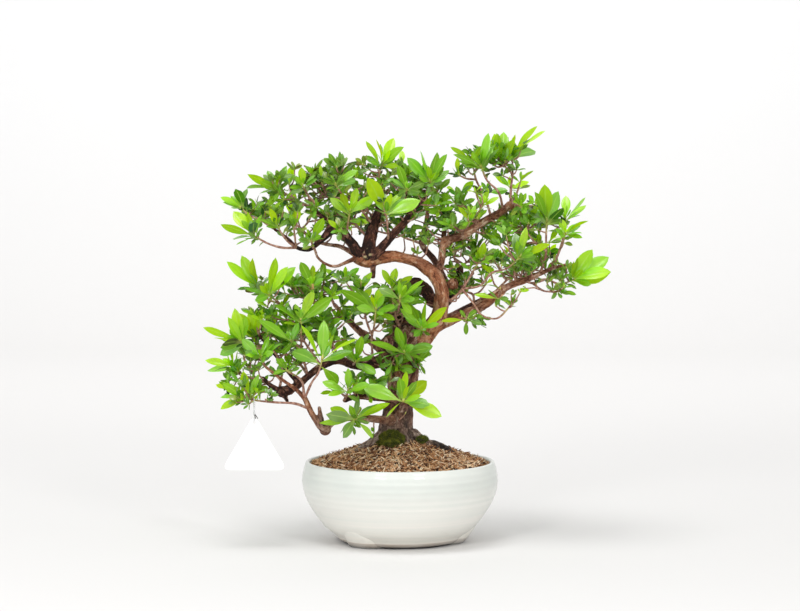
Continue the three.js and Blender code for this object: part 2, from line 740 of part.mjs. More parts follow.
function makePot() {
  const bowl = solid(
    lathe([
      [POT.drainRadius, FOOT.height], ...POT.outside, ...POT.lip, ...POT.inside,
      POT.floor, [POT.drainRadius, POT.floor[1]], [POT.drainRadius, FOOT.height],
    ]),
  );
  const walls = [...POT.inside, POT.floor].toReversed();
  const hollow = solid(lathe([[0, walls[0][1]], ...walls, [0, walls.at(-1)[1]]]));
  const feet = FOOT.bearings.map((bearing) =>
    solid(
      new THREE.SphereGeometry(1, 10, 6)
        .scale(...FOOT.size)
        .rotateX(THREE.MathUtils.degToRad(FOOT.lean))
        .translate(0, -FOOT.radius, FOOT.middle)
        .rotateZ(THREE.MathUtils.degToRad(bearing)),
    ),
  );
  return feet.reduce((pot, foot) => pot.add(foot.trimByPlane([0, 0, 1], 0).subtract(hollow)), bowl);
}

// ---- Drain mesh: a square of net over the hole in the floor

function makeDrainMesh() {
  const { side, thick, bar, bars } = DRAIN_MESH;
  const pieces = [];
  for (let i = 0; i < bars; i++) {
    const offset = (side - bar) * (i / (bars - 1) - 0.5);
    pieces.push(new THREE.BoxGeometry(side, bar, thick).translate(0, offset, 0));
    pieces.push(new THREE.BoxGeometry(bar, side, thick).translate(offset, 0, 0));
  }
  const net = pieces.map((piece) => solid(piece.translate(0, 0, POT.floor[1] + SEAT + thick / 2)));
  return net.reduce((a, b) => a.add(b));
}

// ---- Soil: fills the bowl and mounds up to the trunk

function makeSoil(roots) {
  const bottom = POT.floor[1] + SEAT + DRAIN_MESH.thick + SEAT;
  const walls = [[POT.floor[0], bottom], ...POT.inside.toReversed()].map(([r, z]) => [r - SEAT, z]);
  const slope = (r) => Math.cos((Math.PI / 2) * Math.min(1, r / SOIL.radius)) ** SOIL.steepness;
  const mound = SOIL.rings.map((r) => [r, SOIL.rim + SOIL.rise * slope(r)]);
  const geometry = lathe([[0, bottom], ...walls, ...mound]);
  const position = geometry.getAttribute("position");
  const [a, b, c, d] = SOIL.waves;
  for (let i = 0; i < position.count; i++) {
    const [x, y, z] = [position.getX(i), position.getY(i), position.getZ(i)];
    if (z > SOIL.rim && Math.hypot(x, y) < SOIL.rings[0] - 1) {
      const relief = Math.sin(a * x) * Math.cos(b * y) + 0.6 * Math.cos(c * x - d * y);
      position.setZ(i, z + SOIL.relief * relief);
    }
  }
  return onePiece(solid(geometry).subtract(roots));
}

// ---- Trunk

function makeWood(grow = 0) {
  const limbs = Object.values(LIMBS).map((points) => {
    const diameters = points.map((point) => point[3]);
    const [, sides] = BARK.sides.find(([width]) => Math.max(...diameters) > width);
    return limb(points.map(sight), diameters, sides, grow);
  });
  return limbs.reduce((wood, next) => wood.add(next));
}

// ---- Leafy sprays

// The twigs of a spray: its stem runs on into the first shoot, and the others leave from its end.
function twigRoutes({ stem, shoots }) {
  const end = stem.at(-1);
  return shoots.map(({ bends, at }, i) => {
    const middle = [0.55, 0.5, 0.35].map((share, k) => THREE.MathUtils.lerp(end[k], at[k], share));
    const long = Math.hypot(...at.map((v, k) => v - end[k])) > TWIG.bowed;
    return [...(i ? [end] : stem), ...(bends ?? (long ? [middle] : [])), at].map(sight);
  });
}

function makeTwigs(spray, grow = 0) {
  const parts = twigRoutes(spray).map((route) => {
    const share = (i) => i / (route.length - 1);
    const diameters = route.map((_, i) => THREE.MathUtils.lerp(TWIG.root, TWIG.tip, share(i)));
    return limb(route, diameters, TWIG.sides, grow);
  });
  return parts.reduce((a, b) => a.add(b));
}

// Where the leaves of a spray's whorls stand: base, reach and upper side of each. Leaves with a known
// tip come first, then the others spiral round the shoot. The steepest leaf roots at the twig's tip and
// the others below it in turn. Each turns about the shoot until its midrib is clear of the midribs in
// taken, and joins them.
function leavesOf(spray, number, taken) {
  const draw = draws(SEED.first + SEED.step * number);
  const routes = twigRoutes(spray);
  const leaves = [];
  spray.shoots.forEach(({ at, leaf, tips, more }, shoot) => {
    const [start, end] = routes[shoot].slice(-2);
    const twig = end.clone().sub(start).normalize();
    const axis = twig.clone().add(new THREE.Vector3(0, 0, WHORL.upright)).normalize();
    const round = new THREE.Vector3(1, 0.3, 0).cross(axis).normalize();
    const reaches = [];
    for (let i = 0; i < tips.length + more; i++) {
      const [size, depth, lean] = [draw(), draw(), draw()];
      if (i < tips.length) {
        const [x, z] = tips[i];
        const seen = Math.hypot(x - at[0], z - at[2]);
        const hidden = Math.sqrt(Math.max(0, (leaf * (0.95 + 0.2 * size)) ** 2 - seen * seen));
        const side = depth < 0.5 ? -1 : 1;
        const y = at[1] + side * (0.5 + 0.5 * depth) * Math.min(hidden, 0.75 * seen);
        reaches.push(sight([x, y, z]).sub(end));
      } else {
        const { spiral, scatter, offset } = WHORL;
        const length = leaf * (WHORL.size[0] + WHORL.size[1] * size);
        const tilt = THREE.MathUtils.degToRad(WHORL.tilt[0] + WHORL.tilt[1] * lean);
        const bearing = THREE.MathUtils.degToRad(spiral * i + scatter * depth + offset * number);
        const outward = round.clone().applyAxisAngle(axis, bearing);
        outward.multiplyScalar(Math.sin(tilt) * length);
        reaches.push(outward.addScaledVector(axis, Math.cos(tilt) * length));
      }
    }
    const steepness = (reach) => reach.dot(twig) / reach.length();
    reaches.sort((a, b) => steepness(b) - steepness(a));
    reaches.forEach((reach, i) => {
      const drop = WHORL.drop + WHORL.spacing * i;
      const base = end.clone().addScaledVector(twig, -drop);
      leaves.push(settle(base, reach.addScaledVector(twig, drop), axis, taken));
    });
  });
  return leaves;
}

function settle(base, reach, axis, taken) {
  let best = null;
  for (const turn of WHORL.turns) {
    const turned = reach.clone().applyAxisAngle(axis, THREE.MathUtils.degToRad(turn));
    const marks = WHORL.marks.map((t) => base.clone().addScaledVector(turned, t));
    const gaps = taken.flatMap((other) => marks.map((mark) => mark.distanceTo(other)));
    const room = Math.min(WHORL.clear, ...gaps);
    if (!best || room > best.room) best = { room, turned, marks };
    if (room >= WHORL.clear) break;
  }
  taken.push(...best.marks);
  const light = new THREE.Vector3(0, base.y < WHORL.front ? -WHORL.facing : WHORL.facing, 0);
  return { base, reach: best.turned, up: light.add(axis) };
}

// Whether the boxes of two solids meet, and whether the solids do.
function near(a, b) {
  const [one, other] = [a.boundingBox(), b.boundingBox()];
  return [0, 1, 2].every((k) => one.min[k] < other.max[k] && other.min[k] < one.max[k]);
}

function crosses(a, b) {
  return near(a, b) && !a.intersect(b).isEmpty();
}

// Each spray's twigs are cut clear of the trunk and of the twigs before them. A leaf that would cross
// another spray is left out.
function makeSprays(grownWood) {
  const names = Object.keys(SPRAYS);
  const grownTwigs = [];
  const bodies = names.map((name) => {
    const twigs = makeTwigs(SPRAYS[name]).subtract(grownWood);
    const met = grownTwigs.filter((other) => near(twigs, other));
    grownTwigs.push(makeTwigs(SPRAYS[name], SEAT));
    return onePiece(met.reduce((rest, other) => rest.subtract(other), twigs));
  });
  const taken = [];
  names.forEach((name, number) => {
    for (const { base, reach, up } of leavesOf(SPRAYS[name], number, taken)) {
      const leaf = blade(base, reach, up).subtract(grownWood);
      const free = bodies.every((body, other) => other === number || !crosses(leaf, body));
      if (free) bodies[number] = bodies[number].add(leaf);
    }
    bodies[number] = onePiece(bodies[number]);
  });
  names.forEach((name, i) => addPiece(`spray_${name}`, bodies[i], LEAF_GREEN));
}

// ---- Tag on its wire loop

const hanger = sight(SPRAYS.left_09.stem.at(-1)); // where the loop hangs on its twig
const loop = {
  top: hanger.z + TWIG.tip / 2 + SEAT + WIRE.diameter / 2,
  bottom: hanger.z - WIRE.length,
};

// A long closed link in the plane across the twig: two half circles of bend steps, joined by straight
// runs.
function makeWire() {
  const { half, diameter, sides, bend } = WIRE;
  const points = [];
  for (let i = 0; i < 2 * (bend + 1); i++) {
    const angle = (Math.PI * (i - (i > bend ? 1 : 0))) / bend;
    const centre = i > bend ? loop.bottom + half : loop.top - half;
    const [y, z] = [half * Math.cos(angle), half * Math.sin(angle)];
    points.push(new THREE.Vector3(hanger.x, hanger.y + y, centre + z));
  }
  const rings = [];
  const triangles = [];
  points.forEach((point, i) => {
    const next = (i + 1) % points.length;
    const along = points[next].clone().sub(points.at(i - 1)).normalize();
    const outward = along.cross(new THREE.Vector3(1, 0, 0));
    for (let s = 0; s < sides; s++) {
      const angle = (2 * Math.PI * s) / sides;
      const sideways = new THREE.Vector3((Math.cos(angle) * diameter) / 2, 0, 0);
      const spoke = sideways.addScaledVector(outward, (Math.sin(angle) * diameter) / 2);
      rings.push(point.clone().add(spoke));
      const [a, b] = [i * sides + s, i * sides + ((s + 1) % sides)];
      const [c, d] = [next * sides + s, next * sides + ((s + 1) % sides)];
      triangles.push(a, b, d, a, d, c);
    }
  });
  return solid(shell(rings, triangles));
}

function makeTag() {
  const { width, height, corner, thick, hole, holeDrop } = TAG;
  const top = loop.bottom + WIRE.diameter / 2 + SEAT - hole + holeDrop;
  const corners = [[0, top], [-width / 2, top - height], [width / 2, top - height]];
  const outline = new THREE.Shape();
  corners.forEach(([x, z], i) => {
    const from = new THREE.Vector2(...corners.at(i - 1)).sub(new THREE.Vector2(x, z)).setLength(corner);
    const to = new THREE.Vector2(...corners[(i + 1) % 3]).sub(new THREE.Vector2(x, z)).setLength(corner);
    if (i === 0) outline.moveTo(x + from.x, z + from.y);
    else outline.lineTo(x + from.x, z + from.y);
    outline.quadraticCurveTo(x, z, x + to.x, z + to.y);
  });
  outline.closePath();
  outline.holes.push(new THREE.Path().absarc(0, top - holeDrop, hole, 0, 2 * Math.PI, true));
  const settings = { depth: thick, bevelEnabled: false, curveSegments: 6 };
  const plate = new THREE.ExtrudeGeometry(outline, settings);
  return solid(plate.rotateX(Math.PI / 2).translate(hanger.x, hanger.y + thick / 2, 0));
}

// ---- Assembly, from the bowl up

const wood = onePiece(makeWood());
const grownWood = makeWood(SEAT);
addPiece("pot", makePot(), GLAZE);
addPiece("drain_mesh", makeDrainMesh(), MESH_BLACK);
addPiece("soil", makeSoil(grownWood), SOIL_FIBRE);
addPiece("trunk", wood, BARK_BROWN);
makeSprays(grownWood);
addPiece("tag_wire", makeWire(), WIRE_GREY);
addPiece("tag", makeTag(), TAG_WHITE);

export default bonsai;
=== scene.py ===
"""A satsuki azalea bonsai in a glazed bowl, with a blank tag on a wire loop, dressed round its frame."""
import bpy
import math
import numpy as np
from mathutils import Matrix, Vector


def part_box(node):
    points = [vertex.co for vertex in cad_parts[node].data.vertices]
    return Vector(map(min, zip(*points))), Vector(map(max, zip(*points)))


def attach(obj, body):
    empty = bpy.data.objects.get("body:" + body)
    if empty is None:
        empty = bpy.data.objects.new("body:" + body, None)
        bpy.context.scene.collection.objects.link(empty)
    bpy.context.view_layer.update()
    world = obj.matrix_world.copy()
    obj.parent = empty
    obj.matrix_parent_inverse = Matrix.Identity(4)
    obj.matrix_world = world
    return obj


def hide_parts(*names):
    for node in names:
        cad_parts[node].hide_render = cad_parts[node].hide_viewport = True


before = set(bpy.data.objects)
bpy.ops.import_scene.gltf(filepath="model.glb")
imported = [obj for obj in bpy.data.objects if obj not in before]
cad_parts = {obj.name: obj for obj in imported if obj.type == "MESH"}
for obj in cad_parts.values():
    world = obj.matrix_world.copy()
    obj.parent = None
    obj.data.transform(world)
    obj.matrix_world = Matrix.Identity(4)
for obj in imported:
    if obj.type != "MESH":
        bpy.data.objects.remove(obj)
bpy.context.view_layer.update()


# ---- Bowl
# A shallow bowl, thrown on a wheel from pale clay and dipped in a glossy celadon glaze that pools in its
# throwing rings. Near the foot it warms to the buff of the bare clay, then to a near black brown that is
# painted shade under the bowl. It stands on three rounded lugs pressed on under it.

POT_PROFILE = [  # radius and height up the outside, over the thin rolled lip and down the inside, in mm
    (9, 3), (48, 3), (57, 1.4), (61.5, 3), (66, 7.8), (74, 14.5), (80, 21), (85, 28), (90, 35.8), (94, 43.5),
    (96.8, 51.5), (98, 59), (98, 64.5), (97.3, 69.5), (96.3, 74.5), (95, 78.4), (94.2, 80.2), (92.6, 80.8),
    (91.1, 80.4), (90.5, 78.5), (91, 62), (85, 40), (70, 20), (54, 11), (9, 11), (9, 3),
]
OUTER_POINTS, PROFILE_STEP, BOWL_SIDES = 18, 1.2, 144
RING_DEPTH, RING_PACE = 0.10, 0.95  # throwing rings
RING_RADIUS, RING_START, RING_FADE = 92.6, 12, 20  # where the bowl is wider, and how they fade in up its side
HOLLOW = ((11, 20, 40, 62, 80.6), (54, 70, 85, 91, 90.5))  # heights and radii of the inside
FOOT_BEARINGS = (-39, 81, 201)
# Half sizes of a lug, how far out and how high its middle is, its lean in degrees, and its flat bottom.
FOOT_HALF, FOOT_RADIUS, FOOT_MIDDLE, FOOT_LEAN, FOOT_BOTTOM = (20, 10, 40), 56, 5, 40, 0.02
FOOT_ROWS, FOOT_COLUMNS = 49, 48


def linear(code):
    """An sRGB hex colour as linear RGBA."""
    parts = [int(code[i:i + 2], 16) / 255 for i in (1, 3, 5)]
    return [c / 12.92 if c <= 0.04045 else ((c + 0.055) / 1.055) ** 2.4 for c in parts] + [1]


def to_metres(points):
    """Points in mm from the bowl's axis, as metres in the frame of the whole part."""
    low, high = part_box("pot")
    axis = np.array([(low.x + high.x) / 2, (low.y + high.y) / 2, 0])
    return np.asarray(points, float) / 1000 + axis


def around(count):
    """Angles of count equal steps round a circle."""
    return np.linspace(0, 2 * math.pi, count, endpoint=False)


def ball(rows, columns, short=0.0):
    """A unit sphere: rows of points from pole to pole, short radians off each, by columns round it."""
    u, v = np.meshgrid(np.linspace(short, math.pi - short, rows), around(columns), indexing="ij")
    return np.stack([np.sin(u) * np.cos(v), np.sin(u) * np.sin(v), np.cos(u)], -1).reshape(-1, 3)


def smooth_path(points, step):
    """Catmull-Rom spline through points (n, any), by the length of its chords, sampled about step apart."""
    p = np.asarray(points, float)
    chords = np.maximum(np.linalg.norm(np.diff(p[:, :3], axis=0), axis=1), 1e-6)
    t = np.concatenate([[0], np.cumsum(chords)])
    slope = np.gradient(p, t, axis=0) if len(p) > 2 else np.repeat(np.diff(p, axis=0) / t[1], 2, axis=0)
    s = np.linspace(0, t[-1], max(2, int(math.ceil(t[-1] / step)) + 1))
    i = np.clip(np.searchsorted(t, s, side="right") - 1, 0, len(t) - 2)
    h = (t[i + 1] - t[i])[:, None]
    u = (s[:, None] - t[i][:, None]) / h
    return ((2 * u**3 - 3 * u**2 + 1) * p[i] + (u**3 - 2 * u**2 + u) * h * slope[i]
            + (3 * u**2 - 2 * u**3) * p[i + 1] + (u**3 - u**2) * h * slope[i + 1])


def grid_faces(rows, columns, closed=True):
    """Quads of a grid of rows by columns points; closed joins its last column to its first."""
    i, j = np.meshgrid(np.arange(rows - 1), np.arange(columns if closed else columns - 1), indexing="ij")
    k = (j + 1) % columns
    corners = [i * columns + j, i * columns + k, (i + 1) * columns + k, (i + 1) * columns + j]
    return np.stack(corners, -1).reshape(-1, 4)


def join(parts):
    """Several (points, faces) as one."""
    starts = np.cumsum([0] + [len(points) for points, _ in parts])
    return np.vstack([points for points, _ in parts]), np.vstack([f + n for (_, f), n in zip(parts, starts)])


def new_object(name, data):
    """An object with that mesh, lamp or camera, in the scene."""
    made = bpy.data.objects.new(name, data)
    bpy.context.scene.collection.objects.link(made)
    return made


def new_piece(name, points, faces, materials, slot, replaces=(), smooth=True, kinds=None, floats=(), uv=None):
    """A mesh from points in mm (n, 3) and quads or triangles (m, 3 or 4) that rides on the part. kinds is the
    material of each face; floats are attributes of the points."""
    mesh = bpy.data.meshes.new(name)
    width = faces.shape[1]
    mesh.vertices.add(len(points))
    mesh.vertices.foreach_set("co", to_metres(points).astype(np.float32).ravel())
    mesh.loops.add(faces.size)
    mesh.loops.foreach_set("vertex_index", faces.astype(np.int32).ravel())
    mesh.polygons.add(len(faces))
    mesh.polygons.foreach_set("loop_start", np.arange(len(faces), dtype=np.int32) * width)
    mesh.polygons.foreach_set("loop_total", np.full(len(faces), width, np.int32))
    mesh.polygons.foreach_set("use_smooth", np.full(len(faces), smooth))
    if kinds is not None:
        mesh.polygons.foreach_set("material_index", kinds.astype(np.int32))
    for key, values in dict(floats).items():
        values = np.asarray(values, np.float32)
        kind, field = ("FLOAT", "value") if values.ndim == 1 else ("FLOAT_VECTOR", "vector")
        mesh.attributes.new(key, kind, "POINT").data.foreach_set(field, values.ravel())
    if uv is not None:
        layer = mesh.uv_layers.new(name="grain")
        layer.data.foreach_set("uv", np.asarray(uv, np.float32)[faces.ravel()].ravel())
    mesh.update(calc_edges=True)
    piece = new_object(name, mesh)
    for material in materials:
        mesh.materials.append(material)
    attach(piece, "root")
    if replaces:
        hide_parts(*replaces)


def new_material(name):
    """A material and its node tree, which is still empty."""
    material = bpy.data.materials.new(name)
    material.use_nodes = True
    material.node_tree.nodes.clear()
    return material, material.node_tree


def add(tree, kind, stops=(), **given):
    """A shader node with its settings, in small letters, and its inputs. An input's name has _ for a space,
    or is its number after i; its value is a number, a hex colour, or the node, or (node, output), that it is
    linked to. stops are those of a colour ramp: position, and hex colour or grey level."""
    node = tree.nodes.new("ShaderNode" + kind)
    for key, value in given.items():
        if hasattr(node, key):
            setattr(node, key, value)
            continue
        named = [socket for socket in node.inputs if socket.enabled and socket.name == key.replace("_", " ")]
        socket = named[0] if named else node.inputs[int(key[1:])]
        source, output = value if isinstance(value, tuple) and hasattr(value[0], "outputs") else (value, None)
        if hasattr(source, "outputs"):
            first = next(other for other in source.outputs if other.enabled)
            tree.links.new(source.outputs[output] if output else first, socket)
        else:
            socket.default_value = linear(value) if isinstance(value, str) else value
    for i, (position, value) in enumerate(stops):
        ramp = node.color_ramp.elements
        stop = ramp[i] if i < 2 else ramp.new(position)
        stop.position = position
        stop.color = linear(value) if isinstance(value, str) else (value, value, value, 1)
    return node


# Glossy celadon glaze over pale clay. Patterns are scaled per metre: rings about 4 mm apart, clouds of 40 mm
# and dimples of 2 to 3 mm.
glaze, tree = new_material("celadon_glaze")
place = add(tree, "TexCoord")
flat = add(tree, "Mapping", Vector=(place, "Object"), Scale=(3, 3, 260))
rings = add(tree, "TexNoise", Vector=flat, Scale=1.0, Detail=3.0, Roughness=0.6)
clouds = add(tree, "TexNoise", Vector=(place, "Object"), Scale=26.0, Detail=4.0, Roughness=0.55)
pits = add(tree, "TexNoise", Vector=(place, "Object"), Scale=420.0)
axes = add(tree, "SeparateXYZ", Vector=(place, "Object"))
rise = add(tree, "MapRange", Value=(axes, "Z"), From_Max=0.075)
# Colour up the side. The lowest few mm are painted shade under the bowl, near black at the floor, laid over
# the buff of the bare clay foot and its lugs.
body = add(tree, "ValToRGB", Fac=rise, stops=[
    (0.015, "#4a413a"), (0.035, "#8f8074"), (0.065, "#b5a89b"), (0.085, "#ece5da"), (0.3, "#f0ede6"),
    (0.6, "#ebeae4"), (0.86, "#d2d7d1"), (1.0, "#d6dad5")])
share = add(tree, "ValToRGB", Fac=rings, stops=[(0.35, 0.0), (0.7, 0.55)])
ringed = add(tree, "Mix", data_type="RGBA", Factor=share, A=body, B="#dbe1da")
share = add(tree, "ValToRGB", Fac=clouds, stops=[(0.4, 0.0), (0.75, 0.3)])
mottled = add(tree, "Mix", data_type="RGBA", Factor=share, A=ringed, B="#eae8e1")
lines = add(tree, "Bump", Height=rings, Strength=0.12, Distance=0.0006)
dimples = add(tree, "Bump", Height=pits, Strength=0.05, Distance=0.0002, Normal=lines)
shader = add(tree, "BsdfPrincipled", Base_Color=mottled, Roughness=0.5, IOR=1.5, Normal=dimples,
             Coat_Weight=0.55, Coat_Roughness=0.04)
add(tree, "OutputMaterial", Surface=shader)

profile = smooth_path(POT_PROFILE[:OUTER_POINTS], PROFILE_STEP)
fade = np.clip((profile[:, 1] - RING_START) / RING_FADE, 0, 1) * (profile[:, 0] > RING_RADIUS)
profile[:, 0] += RING_DEPTH * np.sin(profile[:, 1] * RING_PACE) * fade
profile = np.vstack([profile, POT_PROFILE[OUTER_POINTS:]])
radius, height = profile[:, :1], profile[:, 1:]
angle = around(BOWL_SIDES)
bowl = np.stack([radius * np.cos(angle), radius * np.sin(angle), height + 0 * angle], -1).reshape(-1, 3)


def foot(bearing):
    """A lug: an ellipsoid that leans out along the bowl's side, cut flat at the bottom. Its faces inside the
    bowl's hollow are left out."""
    x, y, z = (ball(FOOT_ROWS, FOOT_COLUMNS) * FOOT_HALF).T
    lean, turn = math.radians(FOOT_LEAN), math.radians(bearing)
    y, z = y * math.cos(lean) - z * math.sin(lean) - FOOT_RADIUS, y * math.sin(lean) + z * math.cos(lean)
    z = np.maximum(z + FOOT_MIDDLE, FOOT_BOTTOM)
    x, y = x * math.cos(turn) - y * math.sin(turn), x * math.sin(turn) + y * math.cos(turn)
    points, faces = np.stack([x, y, z], -1), grid_faces(FOOT_ROWS, FOOT_COLUMNS)[:, ::-1]
    x, y, z = points[faces].mean(axis=1).T
    hidden = (z > HOLLOW[0][0]) & (np.hypot(x, y) < np.interp(z, *HOLLOW) + 1)
    return points, faces[~hidden]


points, faces = join([(bowl, grid_faces(len(profile), BOWL_SIDES))] + [foot(b) for b in FOOT_BEARINGS])
new_piece("glazed_bowl", points, faces, [glaze], "glaze", ["pot"])

# Black moulded net over the drain hole, with a skin of fine pits about 1 mm across.
net, tree = new_material("black_net_plastic")
place = add(tree, "TexCoord")
grain = add(tree, "TexNoise", Vector=(place, "Object"), Scale=900.0)
shade = add(tree, "ValToRGB", Fac=grain, stops=[(0.3, "#1e2022"), (0.7, "#2d3032")])
rough = add(tree, "Bump", Height=grain, Strength=0.2, Distance=0.0002)
shader = add(tree, "BsdfPrincipled", Base_Color=shade, Roughness=0.6, Normal=rough)
add(tree, "OutputMaterial", Surface=shader)
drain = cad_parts["drain_mesh"]
drain.data.materials.clear()
drain.data.materials.append(net)


# ---- Soil
# A mound of chopped coconut husk and bark fibre, mixed by hand and heaped up to the roots: dark fines below,
# light brown slivers 5 to 14 mm long lying loosely on them.

SOIL_RIM, SOIL_RISE, SOIL_RADIUS, SOIL_EDGE, SOIL_SKIRT = 79, 23, 90, 90.2, 60
SOIL_ROWS, SOIL_COLUMNS = 46, 120
FINES_BELOW, CRUMB_HEIGHT, CRUMB_PITCH, CRUMB_RADIUS = 1.0, 0.7, 2.6, 88  # crumbs stop at the last radius
BRIM, BRIM_DIP, BRIM_FLAT = 86, 1.2, 84  # the radius where the soil dips, and where slivers begin to lie flat
SLIVERS, SLIVER_SEED, SLIVER_SPREAD = 7500, 11, 89.5


def mound(x, y):
    """Height of the soil in mm: rim + rise cos(pi r / 2R)^1.4, with crossed waves about 1 mm high."""
    r = np.minimum(np.hypot(x, y) / SOIL_RADIUS, 1)
    waves = np.sin(0.71 * x) * np.cos(0.63 * y) + 0.6 * np.cos(0.37 * x - 0.43 * y)
    return SOIL_RIM + SOIL_RISE * np.cos(math.pi / 2 * r) ** 1.4 + 0.9 * waves * (r < 0.97)


def noise(points, pitch, seed=0):
    """Smooth value noise between -1 and 1 at points (n, 3), on a lattice of that pitch."""
    cell = np.floor(points / pitch).astype(np.int64)
    part = points / pitch - cell
    part = part * part * (3 - 2 * part)
    total = np.zeros(len(points))
    for corner in np.ndindex(2, 2, 2):
        h = cell + np.array(corner)
        h = (h[:, 0] * 73856093) ^ (h[:, 1] * 19349663) ^ (h[:, 2] * 83492791) ^ (seed * 2654435761)
        h = (h ^ (h >> 13)) * 1274126177 & 0x7FFFFFFF
        weight = np.prod(np.where(np.array(corner), part, 1 - part), axis=1)
        total += weight * ((h ^ (h >> 16)) / 1073741823.5 - 1)
    return total


def unit(v):
    """Vectors scaled to length 1."""
    v = np.asarray(v, float)
    return v / np.maximum(np.linalg.norm(v, axis=-1, keepdims=True), 1e-12)


def copies(faces, count, size):
    """The faces of count copies of a shape that has size points."""
    return (np.arange(count)[:, None, None] * size + faces).reshape(-1, faces.shape[1])


# Damp dark fines between the slivers, in crumbs of 1 to 2 mm.
fines, tree = new_material("dark_husk_fines")
place = add(tree, "TexCoord")
grain = add(tree, "TexNoise", Vector=(place, "Object"), Scale=700.0, Detail=4.0)
shade = add(tree, "ValToRGB", Fac=grain, stops=[(0.3, "#1c1009"), (0.55, "#3c2516"), (0.8, "#6a4830")])
bumps = add(tree, "Bump", Height=grain, Strength=0.9, Distance=0.002)
shader = add(tree, "BsdfPrincipled", Base_Color=shade, Roughness=0.95, Normal=bumps)
add(tree, "OutputMaterial", Surface=shader)

r, a = np.meshgrid(np.linspace(0.0, SOIL_EDGE, SOIL_ROWS), around(SOIL_COLUMNS), indexing="ij")
x, y = (r * np.cos(a)).ravel(), (r * np.sin(a)).ravel()
r = r.ravel()
ground = np.stack([x, y, mound(x, y) - FINES_BELOW - BRIM_DIP * (r > BRIM)], -1)
ground[:, 2] += CRUMB_HEIGHT * noise(ground, CRUMB_PITCH, 5) * (r < CRUMB_RADIUS)
skirt = ground[-SOIL_COLUMNS:] * [1, 1, 0] + [0, 0, SOIL_SKIRT]
new_piece("soil_fines", np.vstack([ground, skirt]), grid_faces(SOIL_ROWS + 1, SOIL_COLUMNS), [fines], "soil",
          ["soil"])

# Dry husk fibre, each sliver its own brown, with streaks that run along it.
husk, tree = new_material("dry_husk_slivers")
tone = add(tree, "Attribute", attribute_name="tone")
shade = add(tree, "ValToRGB", Fac=(tone, "Fac"), stops=[
    (0.0, "#3a2013"), (0.22, "#7c4e31"), (0.5, "#c08a5a"), (0.78, "#e6bd90"), (1.0, "#fbe6c6")])
along = add(tree, "Mapping", Vector=add(tree, "UVMap", uv_map="grain"), Scale=(1.5, 14, 1))
streak = add(tree, "TexNoise", Vector=along, Scale=2.0, Detail=3.0)
share = add(tree, "ValToRGB", Fac=streak, stops=[(0.4, 0.0), (0.7, 0.35)])
streaked = add(tree, "Mix", data_type="RGBA", Factor=share, A=shade, B="#7e5432")
shader = add(tree, "BsdfPrincipled", Base_Color=streaked, Roughness=0.85)
add(tree, "OutputMaterial", Surface=shader)


def scatter_slivers(count, seed):
    """Bent three-sided splinters: 4 rings of 3 points, tapered to both ends, lying near the mound's top."""
    rng = np.random.default_rng(seed)
    r, a = SLIVER_SPREAD * np.sqrt(rng.random(count)), 2 * math.pi * rng.random(count)
    x, y = r * np.cos(a), r * np.sin(a)
    z = mound(x, y) - FINES_BELOW + 1.5 * rng.random(count) - 1.0 * (r > BRIM)
    heading, step = 2 * math.pi * rng.random(count), 0.5
    slope = (mound(x + step * np.cos(heading), y + step * np.sin(heading)) - mound(x, y)) / step
    pitch = np.clip(slope, -0.9, 0.9) + 0.28 * rng.normal(size=count)
    pitch = np.where(r > BRIM_FLAT, np.clip(pitch, -0.15, 0.15), pitch)
    length = (5 + 9 * rng.random(count) ** 1.6) * np.where(r > BRIM_FLAT, 0.6, 1)
    wide, thick = 0.5 + 0.8 * rng.random(count) ** 1.6, 0.35 + 0.3 * rng.random(count)
    along = unit(np.stack([np.cos(heading), np.sin(heading), pitch], -1))
    side = np.stack([-np.sin(heading), np.cos(heading), 0.7 * rng.normal(size=count)], -1)
    side = unit(side - along * (side * along).sum(1)[:, None])
    bend = 0.12 * length * rng.normal(size=count)
    middle, up = np.stack([x, y, z], -1), np.cross(along, side)
    middle, along, side, up = (v[:, None, None] for v in (middle, along, side, up))
    length, wide, thick, bend = (v[:, None, None, None] for v in (length, wide, thick, bend))
    t, girth = np.array([[-0.5, 0.25], [-0.2, 1.0], [0.2, 0.9], [0.5, 0.2]]).T[:, :, None, None]
    s = (2 * math.pi * np.arange(3) / 3)[:, None]
    grid = (middle + t * length * along + girth * np.cos(s) * wide * side + girth * np.sin(s) * thick * up
            + t**2 * bend * side)
    start = rng.random(count)[:, None, None] * 9
    uv = np.stack(np.broadcast_arrays(t[..., 0] + 0.5 + start, np.arange(3) / 3), -1).reshape(-1, 2)
    points = grid.reshape(-1, 3)
    points[:, :2] *= np.minimum(1, SOIL_RADIUS / np.maximum(np.hypot(*points[:, :2].T), 1e-6))[:, None]
    tone = np.repeat(np.clip(rng.normal(0.52, 0.36, count), 0, 1), 12)
    return points, copies(grid_faces(4, 3), count, 12), tone, uv


points, faces, tone, uv = scatter_slivers(SLIVERS, SLIVER_SEED)
new_piece("husk_slivers", points, faces, [husk], "soil", floats={"tone": tone}, uv=uv)


# ---- Trunk and branches
# Old wood that grew as one: surface roots, a short stout trunk, the high arch over to the left and its
# branches, with flaking reddish brown bark that is greyer and darker near the soil.

VIEWER_DISTANCE, VIEWER_HEIGHT = 2500, 386


def sight(points):
    """Points (n, 3 or 4) as they line up for a viewer in front, at their true places in mm: x and z grow with
    the depth y as (D + y) / D about the viewer's line of sight."""
    p = np.array(points, float)
    scale = (VIEWER_DISTANCE + p[:, 1]) / VIEWER_DISTANCE
    p[:, 0] *= scale
    p[:, 2] = VIEWER_HEIGHT + (p[:, 2] - VIEWER_HEIGHT) * scale
    return p


